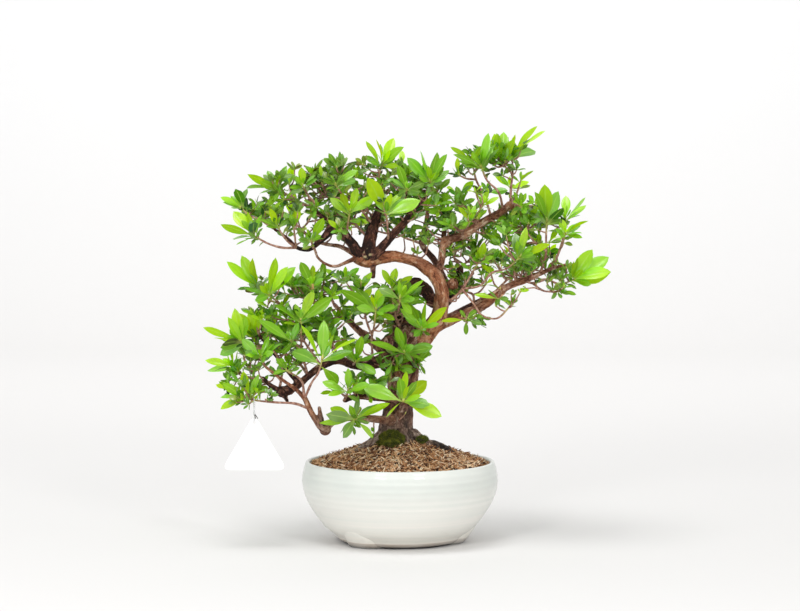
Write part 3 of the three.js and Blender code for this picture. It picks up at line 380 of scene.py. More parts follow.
# Points (x, y, z, diameter) up each limb.
LIMBS = {
    "trunk": [(-4, 0, 60, 28), (-4, 0, 84, 42), (-4, 0, 97, 43), (-4, 0, 111.5, 35), (-2, 0, 131.5, 30),
        (0, 1, 141.5, 28), (3, 1, 166.5, 31.5), (3, 2, 191.5, 38), (6, 2, 204, 37), (8, 3, 213, 29)],
    "rootLeft": [(-13, -6, 108, 17), (-27, -11, 97.5, 13), (-38, -13, 91.5, 10), (-50, -16, 83, 7)],
    "rootRight": [(11, -4, 107, 16), (25, -7, 98.5, 11), (37, -9, 95.5, 9.5), (48, -11, 90.5, 8),
        (57, -13, 82, 6)],
    "rootFront": [(-7, -10, 108, 16), (-10, -22, 97, 11), (-12, -32, 87, 7)],
    "rootBack": [(4, 12, 111, 17), (12, 30, 99, 12), (17, 46, 88, 7)],
    "arch": [(10, 0, 197, 25), (25, -5, 207.5, 21), (37, -11, 221.5, 17), (41, -15, 238.5, 15),
        (40.5, -18, 254.5, 14), (35, -19, 266.5, 14), (25, -19, 275.5, 13.5), (17, -19, 280.5, 12),
        (6, -18, 283.5, 10.5), (-6, -16, 285.5, 11.5), (-15, -16, 284.5, 12.5), (-24, -16, 282.5, 12),
        (-34, -16, 281, 14), (-45, -16, 284, 9)],
    "archBack": [(2, 5, 209, 20), (-1, 14, 229.5, 18), (4, 22, 247, 17), (14, 27, 256.5, 16),
        (26, 30, 251, 14), (32, 30, 240, 11), (40, 26, 236, 9), (50, 20, 243, 8), (58, 15, 259, 9),
        (60, 16, 275.5, 7)],
    "riserBack": [(50, 20, 243, 9), (44, 40, 262, 8), (34, 54, 282, 7), (22, 62, 298, 6.5),
        (26, 76, 318, 5.5), (28, 84, 334, 4.5)],
    "branchRight": [(16, 0, 208, 14), (28, -4, 210.5, 12), (46, -11, 218.5, 9.5), (68, -16, 229.5, 8.5),
        (85, -19, 237.5, 9), (101, -20, 251.5, 8), (112, -20, 257.5, 7), (124, -19, 261.5, 7),
        (140, -16, 268.5, 5), (152, -14, 273.5, 4), (168, -11, 278, 3)],
    "branchRightBack": [(8, 11, 200, 14), (26, 32, 211, 10), (48, 51, 224, 8), (74, 68, 238, 6),
        (96, 78, 250, 4.5)],
    "branchApex": [(36, -18, 264, 9), (41, -11, 279.5, 7.5), (45.5, -7, 300.5, 8), (63, -4, 306.5, 9),
        (76, -1, 315.5, 8.5), (91, 0, 324.5, 8), (103, 0, 331.5, 7.5), (110, 0, 339, 6)],
    "riserApex": [(40, -8, 275, 7), (43, 8, 301.5, 5.5), (45, 14, 322.5, 4.5), (40, 16, 341.5, 3.6)],
    "stubArch": [(-27, -16, 281, 7), (-27, -20, 272, 5.5), (-27, -22, 264, 5)],
    "knotUp": [(-33, -16, 283, 14), (-32, -16, 290, 13.5), (-30, -14, 301.5, 13), (-26, -8, 316.5, 11),
        (-22, -3, 329.5, 8), (-20, 0, 346.5, 4.5)],
    "knotRight": [(-27, -18, 284, 10), (-12, -22, 301.5, 8.5), (-4, -24, 310.5, 8), (3.5, -24, 318, 7.5),
        (8, -24, 325.5, 6), (22, -22, 341, 4), (29.5, -20, 348, 3)],
    "branchCrown": [(-40, -16, 286, 11), (-52, -19, 303.5, 10), (-65, -24, 313.5, 11),
        (-78, -27, 302.5, 6.5), (-92, -32, 292.5, 5), (-103, -35, 294.5, 4.2), (-110, -36, 301.5, 3.8),
        (-126, -38, 313.5, 3.2)],
    "riserCrown": [(-65, -24, 313.5, 8), (-78, -19, 325, 5.5), (-88, -16, 334, 4)],
    "branchDrooping": [(-43, -18, 284, 6), (-54, -22, 279.5, 4), (-65, -27, 275.5, 3.4),
        (-76.5, -32, 279.5, 3.2), (-82, -36, 284.5, 3), (-85, -40, 292.5, 3)],
    "branchCrownBack": [(-44, -15, 287, 6), (-60, -5, 295.5, 4.5), (-75, 5, 298, 4), (-90, 16, 303, 3.5)],
    "branchLeft": [(-4, -4, 178, 18), (-13, -8, 181.5, 16), (-27, -14, 178.5, 12), (-47, -19, 177.5, 9.5),
        (-60, -23, 181.5, 8), (-79, -27, 175.5, 7.5), (-92, -30, 165.5, 7), (-104, -32, 155.5, 8),
        (-121, -35, 149.5, 9)],
    "branchLeftUp": [(-101, -32, 158, 5.5), (-113, -31, 172, 4.6), (-126, -29, 189, 4.2),
        (-141, -27, 207, 3.4)],
    "stubLeft": [(-119, -35, 150, 6.5), (-129, -37, 156, 5), (-138, -38, 165, 3.6)],
    "stubLeftDown": [(-117, -36, 150, 6.5), (-114, -38, 143, 4.2), (-112, -39, 139, 3)],
    "branchLeftBack": [(0, 11, 178, 14), (-16, 32, 190, 10), (-34, 51, 205, 8), (-52, 68, 222, 6),
        (-66, 76, 238, 4.5)],
    "branchLow": [(-6, -11, 121, 10), (-15, -19, 121.5, 8.5), (-34, -30, 123.5, 7), (-50, -40, 123.5, 6),
        (-64, -48, 121, 5.5), (-71, -52, 116.5, 7), (-77, -54, 114, 8), (-84, -57, 121.5, 6.5),
        (-90.5, -58, 132.5, 6), (-95.5, -59, 143.5, 5.5), (-107, -59, 154.5, 4), (-117, -58, 161.5, 3.6),
        (-135, -55, 175.5, 3)],
    "stubLow": [(-77, -55, 116, 5.5), (-79.5, -57, 126, 4.8), (-81, -57, 135, 3.6)],
    "branchFront": [(-2, -8, 143.5, 10), (-12, -19, 143.5, 8), (-28, -32, 144.5, 7), (-46, -47, 145, 6),
        (-56, -57, 141, 5)],
}
# Points along a limb are WOOD_STEP apart and its tube has more sides past the diameter THICK; the skin has
# voxels of VOXEL and is relaxed twice; the grain of each limb starts LIMB_APART further on.
WOOD_STEP, SIDES_THICK, SIDES_THIN, THICK = 1.5, 40, 20, 30
VOXEL, RELAXED, LIMB_APART, GRAIN_STRETCH = 1.1, 2, 37, 0.5
RELIEF_HEIGHT, LUMP_HEIGHT, LUMPY, FULL_RELIEF = 0.95, 0.9, 9, 16  # the last two are diameters of limbs


def frames(path):
    """Unit vectors along a path (n, 3) and two ways across it, turned as little as possible on the way."""
    along = unit(np.gradient(path, axis=0))
    across = [np.array([0.31, 1.0, 0.17])]
    for direction in along:
        across.append(unit(across[-1] - direction * across[-1].dot(direction)))
    return along, np.array(across[1:]), np.cross(along, across[1:])


def circles(across, beside, sides):
    """A unit circle of points for each pair of vectors (n, 3)."""
    angle = (2 * math.pi * np.arange(sides) / sides)[:, None]
    return np.cos(angle) * across[:, None] + np.sin(angle) * beside[:, None]


def tube(path, radius, sides):
    """A tube round a path (n, 3), closed on a point at each end. Returns points, faces, and (share of the
    length, share of a turn) of each point."""
    along, across, beside = frames(path)
    rings = path[:, None] + np.asarray(radius)[:, None, None] * circles(across, beside, sides)
    tip = path[-1] + along[-1] * radius[-1] * 0.4
    points = np.vstack([np.repeat(path[:1], sides, axis=0), *rings, np.repeat(tip[None], sides, axis=0)])
    n = len(rings) + 2
    share = np.stack([np.repeat(np.linspace(0, 1, n), sides), np.tile(np.arange(sides) / sides, n)], -1)
    return points, grid_faces(n, sides), share


# Flaking bark: plates about 4 by 8 mm drawn out along the limb, dark in the cracks between them. It is maroon
# on old wood, orange brown where flakes have fallen, grey near the soil and black where a root has rotted.
bark, tree = new_material("flaking_bark")
place = add(tree, "TexCoord")
relief, warm, cut, rot, grain = (add(tree, "Attribute", attribute_name=name)
                                 for name in ("relief", "warm", "cut", "rot", "grain"))
ragged = add(tree, "TexNoise", Vector=(grain, "Vector"), Scale=0.35, Detail=4.0)
ragged = add(tree, "VectorMath", operation="MULTIPLY_ADD", i0=(ragged, "Color"), i1=(5, 5, 5),
             i2=(grain, "Vector"))
plate = add(tree, "TexVoronoi", Vector=ragged, Scale=0.24, Randomness=1.0)
crack = add(tree, "TexVoronoi", feature="DISTANCE_TO_EDGE", Vector=ragged, Scale=0.24)
fine = add(tree, "TexNoise", Vector=(grain, "Vector"), Scale=0.55, Detail=7.0, Roughness=0.72)
cell = add(tree, "SeparateColor", Color=(plate, "Color"))
level = add(tree, "Math", operation="MULTIPLY_ADD", i0=(cell, "Red"), i1=0.34, i2=-0.17)
level = add(tree, "Math", operation="ADD", i0=level, i1=fine)
# relief also brings in each limb's painted light and shade, which lightens or darkens its whole ramp.
level = add(tree, "Math", operation="MULTIPLY_ADD", i0=(relief, "Fac"), i1=0.34, i2=level)
level = add(tree, "MapRange", Value=level, From_Min=0.4, From_Max=0.98)
maroon = add(tree, "ValToRGB", Fac=level, stops=[
    (0.0, "#1a0e0c"), (0.36, "#42251e"), (0.62, "#7b5042"), (0.85, "#b08876"), (1.0, "#d2b5a4")])
orange = add(tree, "ValToRGB", Fac=level, stops=[
    (0.0, "#4d2818"), (0.25, "#a05f40"), (0.55, "#c8845d"), (0.85, "#d6a07c"), (1.0, "#e4bf9f")])
grey = add(tree, "ValToRGB", Fac=level, stops=[
    (0.0, "#332a26"), (0.35, "#75675e"), (0.65, "#a5968b"), (1.0, "#d9cfc4")])
patch = add(tree, "TexNoise", Vector=(place, "Object"), Scale=55.0, Detail=3.0)
patch = add(tree, "MapRange", Value=patch, From_Min=0.32, From_Max=0.68, To_Min=-0.45, To_Max=0.2)
share = add(tree, "Math", operation="ADD", use_clamp=True, i0=patch, i1=(warm, "Fac"))
hued = add(tree, "Mix", data_type="RGBA", Factor=share, A=maroon, B=orange)
axes = add(tree, "SeparateXYZ", Vector=(place, "Object"))
low = add(tree, "MapRange", Value=(axes, "Z"), From_Min=0.145, From_Max=0.1)
share = add(tree, "ValToRGB", Fac=low, stops=[(0.0, 0.0), (1.0, 0.7)])
greyed = add(tree, "Mix", data_type="RGBA", Factor=share, A=hued, B=grey)
share = add(tree, "ValToRGB", Fac=crack, stops=[(0.0, 0.25), (0.12, 0.0)])
lined = add(tree, "Mix", data_type="RGBA", Factor=share, A=greyed, B="#26150f")
worn = add(tree, "Mix", data_type="RGBA", Factor=(cut, "Fac"), A=lined, B="#c2ad84")
rotten = add(tree, "Mix", data_type="RGBA", Factor=(rot, "Fac"), A=worn, B="#1c1411")
crust = add(tree, "Bump", Height=level, Strength=1.0, Distance=0.0016)
ridges = add(tree, "Bump", Height=crack, Strength=0.2, Distance=0.0008, Normal=crust)
shader = add(tree, "BsdfPrincipled", Base_Color=rotten, Roughness=0.82, Normal=ridges, Specular_IOR_Level=0.3)
add(tree, "OutputMaterial", Surface=shader)

# How much of a limb's bark is orange, and how much lighter or darker it is painted: partly the bark's own
# tone and partly painted light and shade on that limb.
BARK_ORANGE_AND_PAINTED_LIGHT = {
    "arch": (0.95, 0.12), "branchLow": (0.7, 0.1), "branchRight": (0.5, 0.16), "branchApex": (0.55, 0.25),
    "branchDrooping": (0.45, 0.22), "branchLeft": (0.1, -0.18), "branchLeftUp": (0.0, -0.25),
    "stubLeft": (0.0, -0.35), "stubLeftDown": (0.0, -0.35), "knotUp": (0.0, -0.34), "knotRight": (0.05, -0.2),
    "branchCrown": (0.0, -0.38), "riserCrown": (0.0, -0.3), "archBack": (0.15, -0.2),
}
PLAIN = (0.25, 0.06)  # all other bark

# Lumps and healed cuts, pale specks of healing cuts, and rotten spots: x, y, z and radius.
KNOTS = [
    (53, -4, 258, 6), (-34, -14, 285, 9), (-30, -15, 290, 7), (-26, -14, 284, 6), (-75, -50, 112, 6),
    (-118, -35, 150, 6), (-111, -34, 152, 5.5), (8, -12, 206, 13), (-10, -10, 198, 10), (20, -6, 200, 10),
    (-8, -14, 122, 7), (101, -20, 251, 5), (68, -16, 229, 5.5), (46, -6, 300, 6), (110, 0, 336, 5),
]
CUTS = [(-27, -22, 262, 3), (-32, -24, 289, 5), (-36, -24, 285, 4)]
ROT = [(36, -9, 98, 6), (42, -10, 96, 9), (48, -12, 92, 10), (54, -13, 87, 8)]


def fused(name, points, faces, pitch):
    """The union of overlapping closed tubes as one skin on a voxel grid: its points and faces."""
    mesh = bpy.data.meshes.new(name)
    mesh.from_pydata(points.tolist(), [], faces.tolist())
    draft = new_object(name, mesh)
    remesh = draft.modifiers.new("fuse", "REMESH")
    remesh.mode, remesh.voxel_size, remesh.adaptivity = "VOXEL", pitch, 0
    made = bpy.data.meshes.new_from_object(draft.evaluated_get(bpy.context.evaluated_depsgraph_get()))
    co = np.empty(len(made.vertices) * 3)
    made.vertices.foreach_get("co", co)
    corners = np.empty(len(made.loops), np.int32)
    made.loops.foreach_get("vertex_index", corners)
    bpy.data.objects.remove(draft)
    bpy.data.meshes.remove(mesh)
    bpy.data.meshes.remove(made)
    return co.reshape(-1, 3), corners.reshape(-1, 4)


def relax(points, faces, rounds):
    """Each point moved half way to the mean of its neighbours, rounds times."""
    one, other = np.vstack([faces[:, [k, (k + 1) % 4]] for k in range(4)]).T
    to, source = np.concatenate([one, other]), np.concatenate([other, one])
    count = np.maximum(np.bincount(to, minlength=len(points))[:, None], 1)
    for _ in range(rounds):
        total = np.stack([np.bincount(to, points[source, k], len(points)) for k in range(3)], -1)
        points = 0.5 * points + 0.5 * total / count
    return points


def normals_of(points, faces):
    """Unit normals of points, from the quads round them."""
    a, b, c, d = points[faces].transpose(1, 0, 2)
    normal = np.cross(c - a, d - b)
    total = [sum(np.bincount(corner, normal[:, k], len(points)) for corner in faces.T) for k in range(3)]
    return unit(np.stack(total, -1))


def spots(places, points):
    """1 within the radius of a place (x, y, z, radius), falling to 0 in the last millimetre."""
    gaps = [radius - np.linalg.norm(points - sight([place])[0], axis=1) for *place, radius in places]
    return np.clip(np.max(gaps, axis=0), 0, 1)


limb_paths = {name: smooth_path(sight(points), WOOD_STEP) for name, points in LIMBS.items()}
wood = []
for path in limb_paths.values():
    sides = SIDES_THICK if path[:, 3].max() > THICK else SIDES_THIN
    wood.append(tube(path[:, :3], path[:, 3] / 2, sides)[:2])
for x, y, z, radius in KNOTS:
    wood.append((ball(9, 14, 0.01) * radius + sight([(x, y, z)])[0], grid_faces(9, 14)))
points, faces = fused("wood_draft", *join(wood), VOXEL)
points = relax(points, faces, RELAXED)
# The nearest ring of a limb gives each point of the skin the limb's place and diameter there, the ways along
# and across it, and the distance up it.
rings = np.vstack([
    np.hstack([path, *frames(path[:, :3]), (np.arange(len(path)) * WOOD_STEP + LIMB_APART * k)[:, None]])
    for k, path in enumerate(limb_paths.values())])
nearest = np.concatenate([
    np.argmin(np.linalg.norm(block[:, None] - rings[None, :, :3], axis=2) - 0.5 * rings[None, :, 3], axis=1)
    for block in np.array_split(points, max(1, len(points) // 1500))])
place, girth, *ways, distance = np.split(rings[nearest], (3, 4, 7, 10, 13), axis=1)
girth, offset = girth[:, 0], points - place
up_limb, one_side, other_side = ((offset * way).sum(1) for way in ways)
# Bark grain: noise that runs with the limb, stretched along it.
grain = np.stack([one_side, other_side, (distance[:, 0] + up_limb) * GRAIN_STRETCH], -1)
coarse = noise(grain, 3.6, 1)
plates = noise(grain + 1.5 * coarse[:, None], 1.9, 2)
flakes = noise(points, 2.0, 3)
lumps = noise(points, 9.0, 4)
relief = 0.45 * coarse + 0.35 * (1 - np.abs(plates) - 0.6) + 0.35 * flakes
skin = normals_of(points, faces)
if ((skin * offset).sum(1)).mean() < 0:
    skin, faces = -skin, faces[:, ::-1]
height = RELIEF_HEIGHT * relief + LUMP_HEIGHT * lumps * (girth > LUMPY)
raised = np.clip(girth / FULL_RELIEF, 0.15, 1.0) * height
points = points + skin * raised[:, None]
# pale is each limb's painted light and shade, partly the bark's own tone; it is added into relief.
barks = [np.tile(BARK_ORANGE_AND_PAINTED_LIGHT.get(name, PLAIN), (len(path), 1)) for name, path in limb_paths.items()]
warm, pale = np.vstack(barks)[nearest].T
new_piece("trunk_and_branches", points, faces, [bark], "bark", ["trunk"],
          floats={"relief": np.clip(0.5 + 0.55 * relief + pale, 0, 1.3), "warm": warm, "grain": grain,
                  "cut": spots(CUTS, points) * (flakes > 0.25),
                  "rot": spots(ROT, points) * np.clip(0.85 + 0.5 * flakes, 0, 1)})


# ---- Moss
# Cushions of dark green moss on the damp foot of the trunk, between the roots. They are living tufts of
# stems about 2.4 mm long that hold to the bark by themselves.

# Middle and half size of each cushion.
MOSS_CUSHIONS = [((-8, -19, 101.5), (12.5, 8, 9)), ((22, -11, 102), (5.5, 5, 3)), ((-20, -15, 96), (6, 6, 4)),
                 ((-8, -27, 97), (8, 5, 4))]
MOSS_DENSITY, MOSS_SEED, MOSS_LENGTH, MOSS_WIDTH, MOSS_BEND = 45, 3, 2.4, 0.38, 0.4

# Moss: dark at the foot of a tuft, yellow green at the tips.
moss, tree = new_material("cushion_moss")
tone = add(tree, "Attribute", attribute_name="tone")
shade = add(tree, "ValToRGB", Fac=(tone, "Fac"), stops=[
    (0.0, "#1e280a"), (0.45, "#55601a"), (1.0, "#a3a034")])
shader = add(tree, "BsdfPrincipled", Base_Color=shade, Roughness=0.9)
add(tree, "OutputMaterial", Surface=shader)


def needles(roots, up, length, width, bend, rng):
    """Three-sided blades (3 root points and a tip) along up, bent by a random part of their length."""
    n = len(roots)
    up = unit(up + bend * rng.normal(size=(n, 3)))
    side = unit(np.cross(up, rng.normal(size=(n, 3))))
    base = roots[:, None] + width * circles(side, np.cross(up, side), 3)
    tip = roots + up * (length * (0.6 + 0.8 * rng.random(n)))[:, None]
    points = np.concatenate([base, tip[:, None]], axis=1).reshape(-1, 3)
    return points, copies(np.array([[0, 1, 3], [1, 2, 3], [2, 0, 3]]), n, 4)


rng = np.random.default_rng(MOSS_SEED)
roots, ups = [], []
for centre, half in MOSS_CUSHIONS:
    way = unit(rng.normal(size=(int(MOSS_DENSITY * half[0] * half[2]), 3)))
    spot = way * half * (0.9 + 0.16 * noise(way * half, 3.0, 9))[:, None]
    roots.append(spot + sight([centre])[0])
    ups.append(way / half * np.mean(half) + [0, -0.2, 0.5])
roots = np.vstack(roots)
points, faces = needles(roots, np.vstack(ups), MOSS_LENGTH, MOSS_WIDTH, MOSS_BEND, rng)
tones = np.clip(0.35 + 0.25 * noise(roots, 2.5, 8) + 0.12 * rng.normal(size=len(roots)), 0, 1).repeat(4)
tones[3::4] += 0.3
new_piece("moss_tufts", points, faces, [moss], "bark", smooth=False, floats={"tone": tones})


# ---- Leafy sprays
# Each season's shoots end in a whorl of thin leaves. Young leaves are long, glossy and lime green; those of
# past years below them are short, dark and leathery.

# A spray's stem, then its shoots: the points of the twig from the stem's end, the length of a leaf, how fresh
# the other leaves are and how many, and the tips of those that are known: x and z as seen, and freshness.
SPRAYS = {
    "crown": [
        ([(-126, -38, 313.5), (-138, -32, 321)],
         ([(-158, -27, 333.5)], 30, 0.6, 0, (-179, 344.5, 0.85), (-162, 349.5, 0.8)),
         ([(-137, -14, 321)], 26, 0.6, 1, (-145, 343.5, 1), (-127, 336, 1))),
        ([(-103, -35, 294.5)],
         ([(-117, -43, 294.5), (-128, -46, 297), (-147, -49, 306.5)], 31, 0.5, 1, (-179, 317.5, 0.8),
          (-159, 325.5, 0.9), (-166, 330.5, 1)), ([(-106, -57, 315)], 21, 0.3, 1, (-109, 334.5, 0.95)),
         ([(-122, -54, 315)], 22, 0.35, 1, (-130, 333.5, 0.95))),
        ([(-88, -16, 334), (-95, -12, 337), (-108, -8, 345)],
         ([(-123, -7, 353)], 31, 0.95, 0, (-152, 367.5, 0.85), (-153, 353.5, 0.3), (-132, 371, 0.25),
          (-117, 372.5, 0.35), (-132, 335, 0.95)), ([(-110, 19, 357)], 23, 0.5, 1, (-108, 375.5, 0.85))),
        ([(-88, -16, 334), (-91, -23, 345)], ([(-97, -32, 356)], 22, 0.6, 1, (-98, 374.5, 0.9)),
         ([(-83, -43, 334)], 17, 0.3, 1, (-84, 344, 0.2))),
        ([(-30, -14, 301.5), (-50, 0, 324), (-68, 3, 342)],
         ([(-89, 16, 366)], 16, 0.1, 1, (-96, 376.5, -0.05), (-77, 382.5, 0)),
         ([(-78, -16, 360)], 17, 0.3, 1, (-79, 377, 0.9))),
        ([(-26, -8, 316.5), (-44, -19, 338)],
         ([(-60, -14, 369)], 21, 0.1, 0, (-71, 388.5, 0.3), (-60, 390.5, 0.3), (-51, 388.5, 0.35),
          (-43, 380.5, 0.1)), ([(-64, -46, 357)], 24, 0.4, 1, (-42, 371.5, 0.5), (-44, 362, 0.5))),
        ([(-20, 0, 346.5), (-22, -3, 360)],
         ([(-18, -8, 377)], 30, 0.9, 0, (-34, 400.5, 0.95), (-24, 402.5, 1), (-6, 403.5, 0.9),
          (4, 394.5, 0.7))),
        ([(8, -24, 325.5), (5, -16, 346)], ([(2, 19, 376)], 16, 0.3, 1, (2, 391, 0.95)),
         ([(7, -36, 352)], 24, 0.5, 1, (-2, 376.5, 0.45))),
        ([(40, 16, 341.5), (34, 3, 350)],
         ([(30, -19, 359.5)], 30, 0.55, 0, (47, 387.5, 0.5), (37, 389.5, 0.5), (20, 391.5, 0.6),
          (7, 384, 0.5), (49, 371.5, 0.55)), ([(14, 19, 354)], 20, 0.9, 2, (26, 369, 0.85))),
        ([(-52, -19, 303.5), (-53, -38, 311)],
         ([(-50, -49, 330)], 24, 0.9, 0, (-67, 345.5, 0.9), (-59, 349.5, 0.95), (-47, 354.5, 0.95),
          (-25, 345, 0.9)), ([(-61, -63, 312)], 17, 0.4, 1, (-72, 322, 0.95))),
        ([(-12, -22, 301.5), (-12, -43, 314)],
         ([(-14, -55, 329)], 31, 0.4, 0, (-29, 366, 0.9), (-9, 348.5, 0.95), (2, 349, 0.95),
          (20, 341.5, 0.85), (8, 327, 0.4))),
        ([(-85, -40, 292.5)], ([(-89, -62, 302)], 19, 0.35, 1, (-96, 317.5, 0.95), (-76, 324, 0.85))),
        ([(-90, 16, 303), (-98, 30, 313)], ([(-110, 49, 328)], 24, 0.8, 2), ([(-86, 65, 334)], 24, 0.5, 2)),
        ([(-26, -8, 316.5), (-32, 22, 330)], ([(-64, 54, 350)], 25, 0.7, 2),
         ([(-42, 86, 342)], 25, 0.85, 2)),
        ([(28, 84, 334), (20, 86, 345)], ([(6, 97, 358)], 25, 0.85, 2), ([(36, 68, 364)], 24, 0.6, 2)),
        ([(22, 62, 298), (2, 84, 306)], ([(-14, 100, 324)], 26, 0.6, 2), ([(-34, 70, 316)], 24, 0.8, 2)),
    ],
    "apex": [
        ([(91, 0, 324.5), (84, 3, 346), (76, 5, 362)], ([(72, -3, 380)], 22, 0.8, 1, (50, 394.5, 0.75)),
         ([(59, 22, 366)], 20, 0.5, 1, (57, 384, 0.9))),
        ([(103, 0, 331.5), (96, -16, 352)],
         ([(81, -19, 374)], 33, 0.4, 2, (88, 408.5, 0.75), (91, 396.5, 0.9))),
        ([(110, 0, 339), (111, 3, 355.5), (112, 5, 366)],
         ([(101, -3, 378.5)], 32, 0.8, 1, (95, 409, 0.75), (106, 409.5, 0.85), (113, 411, 0.9)),
         ([(112, 14, 384)], 40, 0.85, 1, (143, 413, 0.88), (137, 415.5, 0.85))),
        ([(110, 0, 339)], ([(120, 22, 360)], 20, 0.85, 0, (133, 371, 0.85)),
         ([(121, -27, 334)], 20, 0.5, 2, (113, 350.5, 0.65), (121, 352.5, 0.7))),
        ([(76, -1, 315.5), (75, -20, 324)],
         ([(83, -35, 337)], 19, 1, 0, (73, 354, 1), (81, 355, 0.9), (92, 350.5, 1)),
         ([(62, -30, 338)], 19, 0.4, 0, (56, 355.5, 0.1), (68, 356, 0.4))),
        ([(63, -4, 306.5), (62, -18, 311)], ([(70, -51, 321)], 18, 0.8, 0, (58, 335, 0.95), (75, 337, 0.8)),
         ([(51, -38, 316)], 18, 0.5, 2)),
        ([(140, -16, 268.5), (146, -19, 291)],
         ([(146, -22, 319)], 36, 0.5, 0, (144, 357.5, 0.8), (134, 350, 0.5), (158, 350.5, 0.5)),
         ([(124, -14, 316)], 17, 0.6, 1, (119, 332, 0.55))),
        ([(152, -14, 273.5), (159, -19, 292)],
         ([(165, -8, 323)], 26, 0.85, 0, (163, 346.5, 0.8), (185, 344.5, 0.65), (189, 338, 0.85)),
         ([(165, -40, 308)], 26, 0.95, 0, (188, 321, 0.8), (182, 304, 0.6), (152, 303, 0.95))),
        ([(76, -1, 315.5), (70, 27, 329)], ([(58, 57, 346)], 25, 0.8, 2), ([(86, 62, 350)], 25, 0.6, 2)),
        ([(103, 0, 331.5), (112, 30, 336)], ([(110, 62, 354)], 25, 0.85, 2), ([(134, 49, 336)], 24, 0.6, 2)),
    ],
    "right": [
        ([(41, -15, 238.5), (52, -22, 243), (62, -27, 253)],
         ([(72, -30, 269), (80, -40, 282)], 20, 0.6, 2, (84, 300, 0.95)),
         ([(81, -35, 257.5), (91, -38, 269), (106, -40, 273), (119, -46, 284)], 31, 0.5, 0, (126, 315, 1),
          (152, 295.5, 1), (103, 296.5, 0.95), (134, 276, 0.5)),
         ([(73, -38, 238.5), (81, -43, 227), (96, -49, 223.5), (112, -54, 238)], 14, 0.5, 2)),
        ([(124, -19, 261.5), (132, -24, 259)],
         ([(145, -27, 263), (160, -27, 258), (173, -30, 262)], 32, 0.8, 0, (192, 292.5, 0.75),
          (177, 284.5, 0.8), (213, 279.5, 0.7), (210, 270.5, 0.9), (216, 262.5, 0.8)),
         ([(152, 0, 266)], 18, 0.15, 0, (166, 277, 0.15)),
         ([(145, -40, 250.5), (160, -49, 250.5)], 14, 0.3, 1, (151, 243, 0.15), (176, 247.5, 0.4))),
        ([(101, -20, 251.5)], ([(98, -50, 242.5)], 22, 0.3, 1, (74, 247.5, 1), (114, 237, 1))),
        ([(68, -16, 229.5)],
         ([(66, -47, 221.5)], 16, 0.3, 0, (41, 220.5, 1), (60, 232, 0.25), (77, 232, 0.2),
          (82, 218, 0.25), (66, 207, 0.3))),
        ([(60, 16, 275.5)], ([(52, -11, 292)], 19, 0.85, 2), ([(76, 27, 294)], 20, 0.6, 3)),
        ([(96, 78, 250), (106, 84, 262)], ([(124, 78, 276)], 24, 0.8, 2), ([(98, 103, 278)], 24, 0.5, 2)),
        ([(74, 68, 238), (73, 70, 247)], ([(58, 89, 260)], 24, 0.6, 2), ([(86, 40, 258)], 22, 0.8, 2)),
        ([(112, -20, 257.5), (124, 11, 266)], ([(146, 38, 286)], 24, 0.85, 2),
         ([(120, 46, 298)], 24, 0.6, 2)),
    ],
    "left": [
        ([(-79, -27, 175.5), (-100, -24, 207), (-118, -24, 237)],
         ([(-143, -16, 253.5)], 37, 0.88, 0, (-173, 280.5, 0.8), (-158, 286.5, 0.75), (-147, 284, 0.88)),
         ([(-131, -40, 247)], 33, 0.75, 0, (-124, 284.5, 0.9), (-113, 279, 0.95), (-104, 275, 0.75))),
        ([(-60, -23, 181.5), (-75, -11, 215), (-84, -11, 236)],
         ([(-97, -11, 246)], 22, 0.4, 1, (-108, 266, 0.5)),
         ([(-88, -35, 256)], 24, 0.85, 0, (-105, 276.5, 0.5), (-87, 277, 0.85)),
         ([(-76, 0, 262)], 18, 0.5, 1, (-77, 280, 0.4), (-63, 273, 0.45))),
        ([(-27, -14, 178.5), (-28, -35, 206)],
         ([(-24, -54, 232)], 38, 0.75, 0, (-60, 251.5, 0.6), (-19, 255, 0.7), (-5, 222, 0.75)),
         ([(-38, -32, 252)], 22, 0.5, 1, (-52, 268, 0.6), (-28, 270, 0.85))),
        ([(6, 3, 204), (-4, -27, 226)],
         ([(-8, -30, 254)], 22, 0.75, 0, (-18, 272.5, 0.92), (-4, 274, 0.85), (13, 266, 0.75)),
         ([(0, -62, 243)], 34, 0.7, 0, (24, 262, 0.75), (12, 228, 0.6), (17, 246, 0.7))),
        ([(-92, -30, 165.5), (-98, -40, 192)],
         ([(-99, -38, 221)], 30, 0.8, 0, (-86, 252, 1), (-68, 244.5, 0.65), (-127, 238, 0.55),
          (-117, 219, 0.8)), ([(-109, -57, 201)], 20, 0.5, 1, (-141, 222, 0.6), (-118, 188, 0.55))),
        ([(-121, -35, 149.5), (-119, -32, 176.5), (-127, -30, 191)],
         ([(-147, -16, 204)], 30, 0.95, 0, (-157, 231, 0.8), (-137, 233, 0.85), (-148, 235, 0.95)),
         ([(-159, -43, 199.5)], 34, 0.6, 0, (-172, 225, 0.8), (-164, 229, 0.9), (-197, 214.5, 0.95),
          (-187, 204, 0.85), (-180, 187, 0.6))),
        ([(-121, -35, 149.5), (-137, -30, 160)],
         ([(-167, -24, 175)], 27, 0.85, 0, (-195, 181.5, 0.9), (-193, 171, 0.6), (-180, 193, 0.95),
          (-165, 197, 0.85)), ([(-150, 0, 172)], 20, 0.7, 2)),
        ([(-135, -55, 175.5)],
         ([(-140, -62, 185)], 26, 0.6, 1, (-158, 203, 0.5), (-131, 206, 0.6), (-118, 196, 0.5))),
        ([(-90.5, -58, 132.5), (-102, -62, 137.5), (-125, -62, 139), (-146, -62, 141.5)],
         ([(-156, -62, 144)], 27, 0.7, 0, (-178, 158.5, 0.7), (-180, 144, 0.6), (-180, 132, 0.9),
          (-157, 171, 0.9), (-141, 168, 0.7))),
        ([(-95.5, -59, 143.5), (-99, -68, 161)], ([(-114, -81, 172)], 18, 0.4, 1, (-124, 184, 0.5))),
        ([(-95.5, -59, 143.5), (-87, -73, 160.5)],
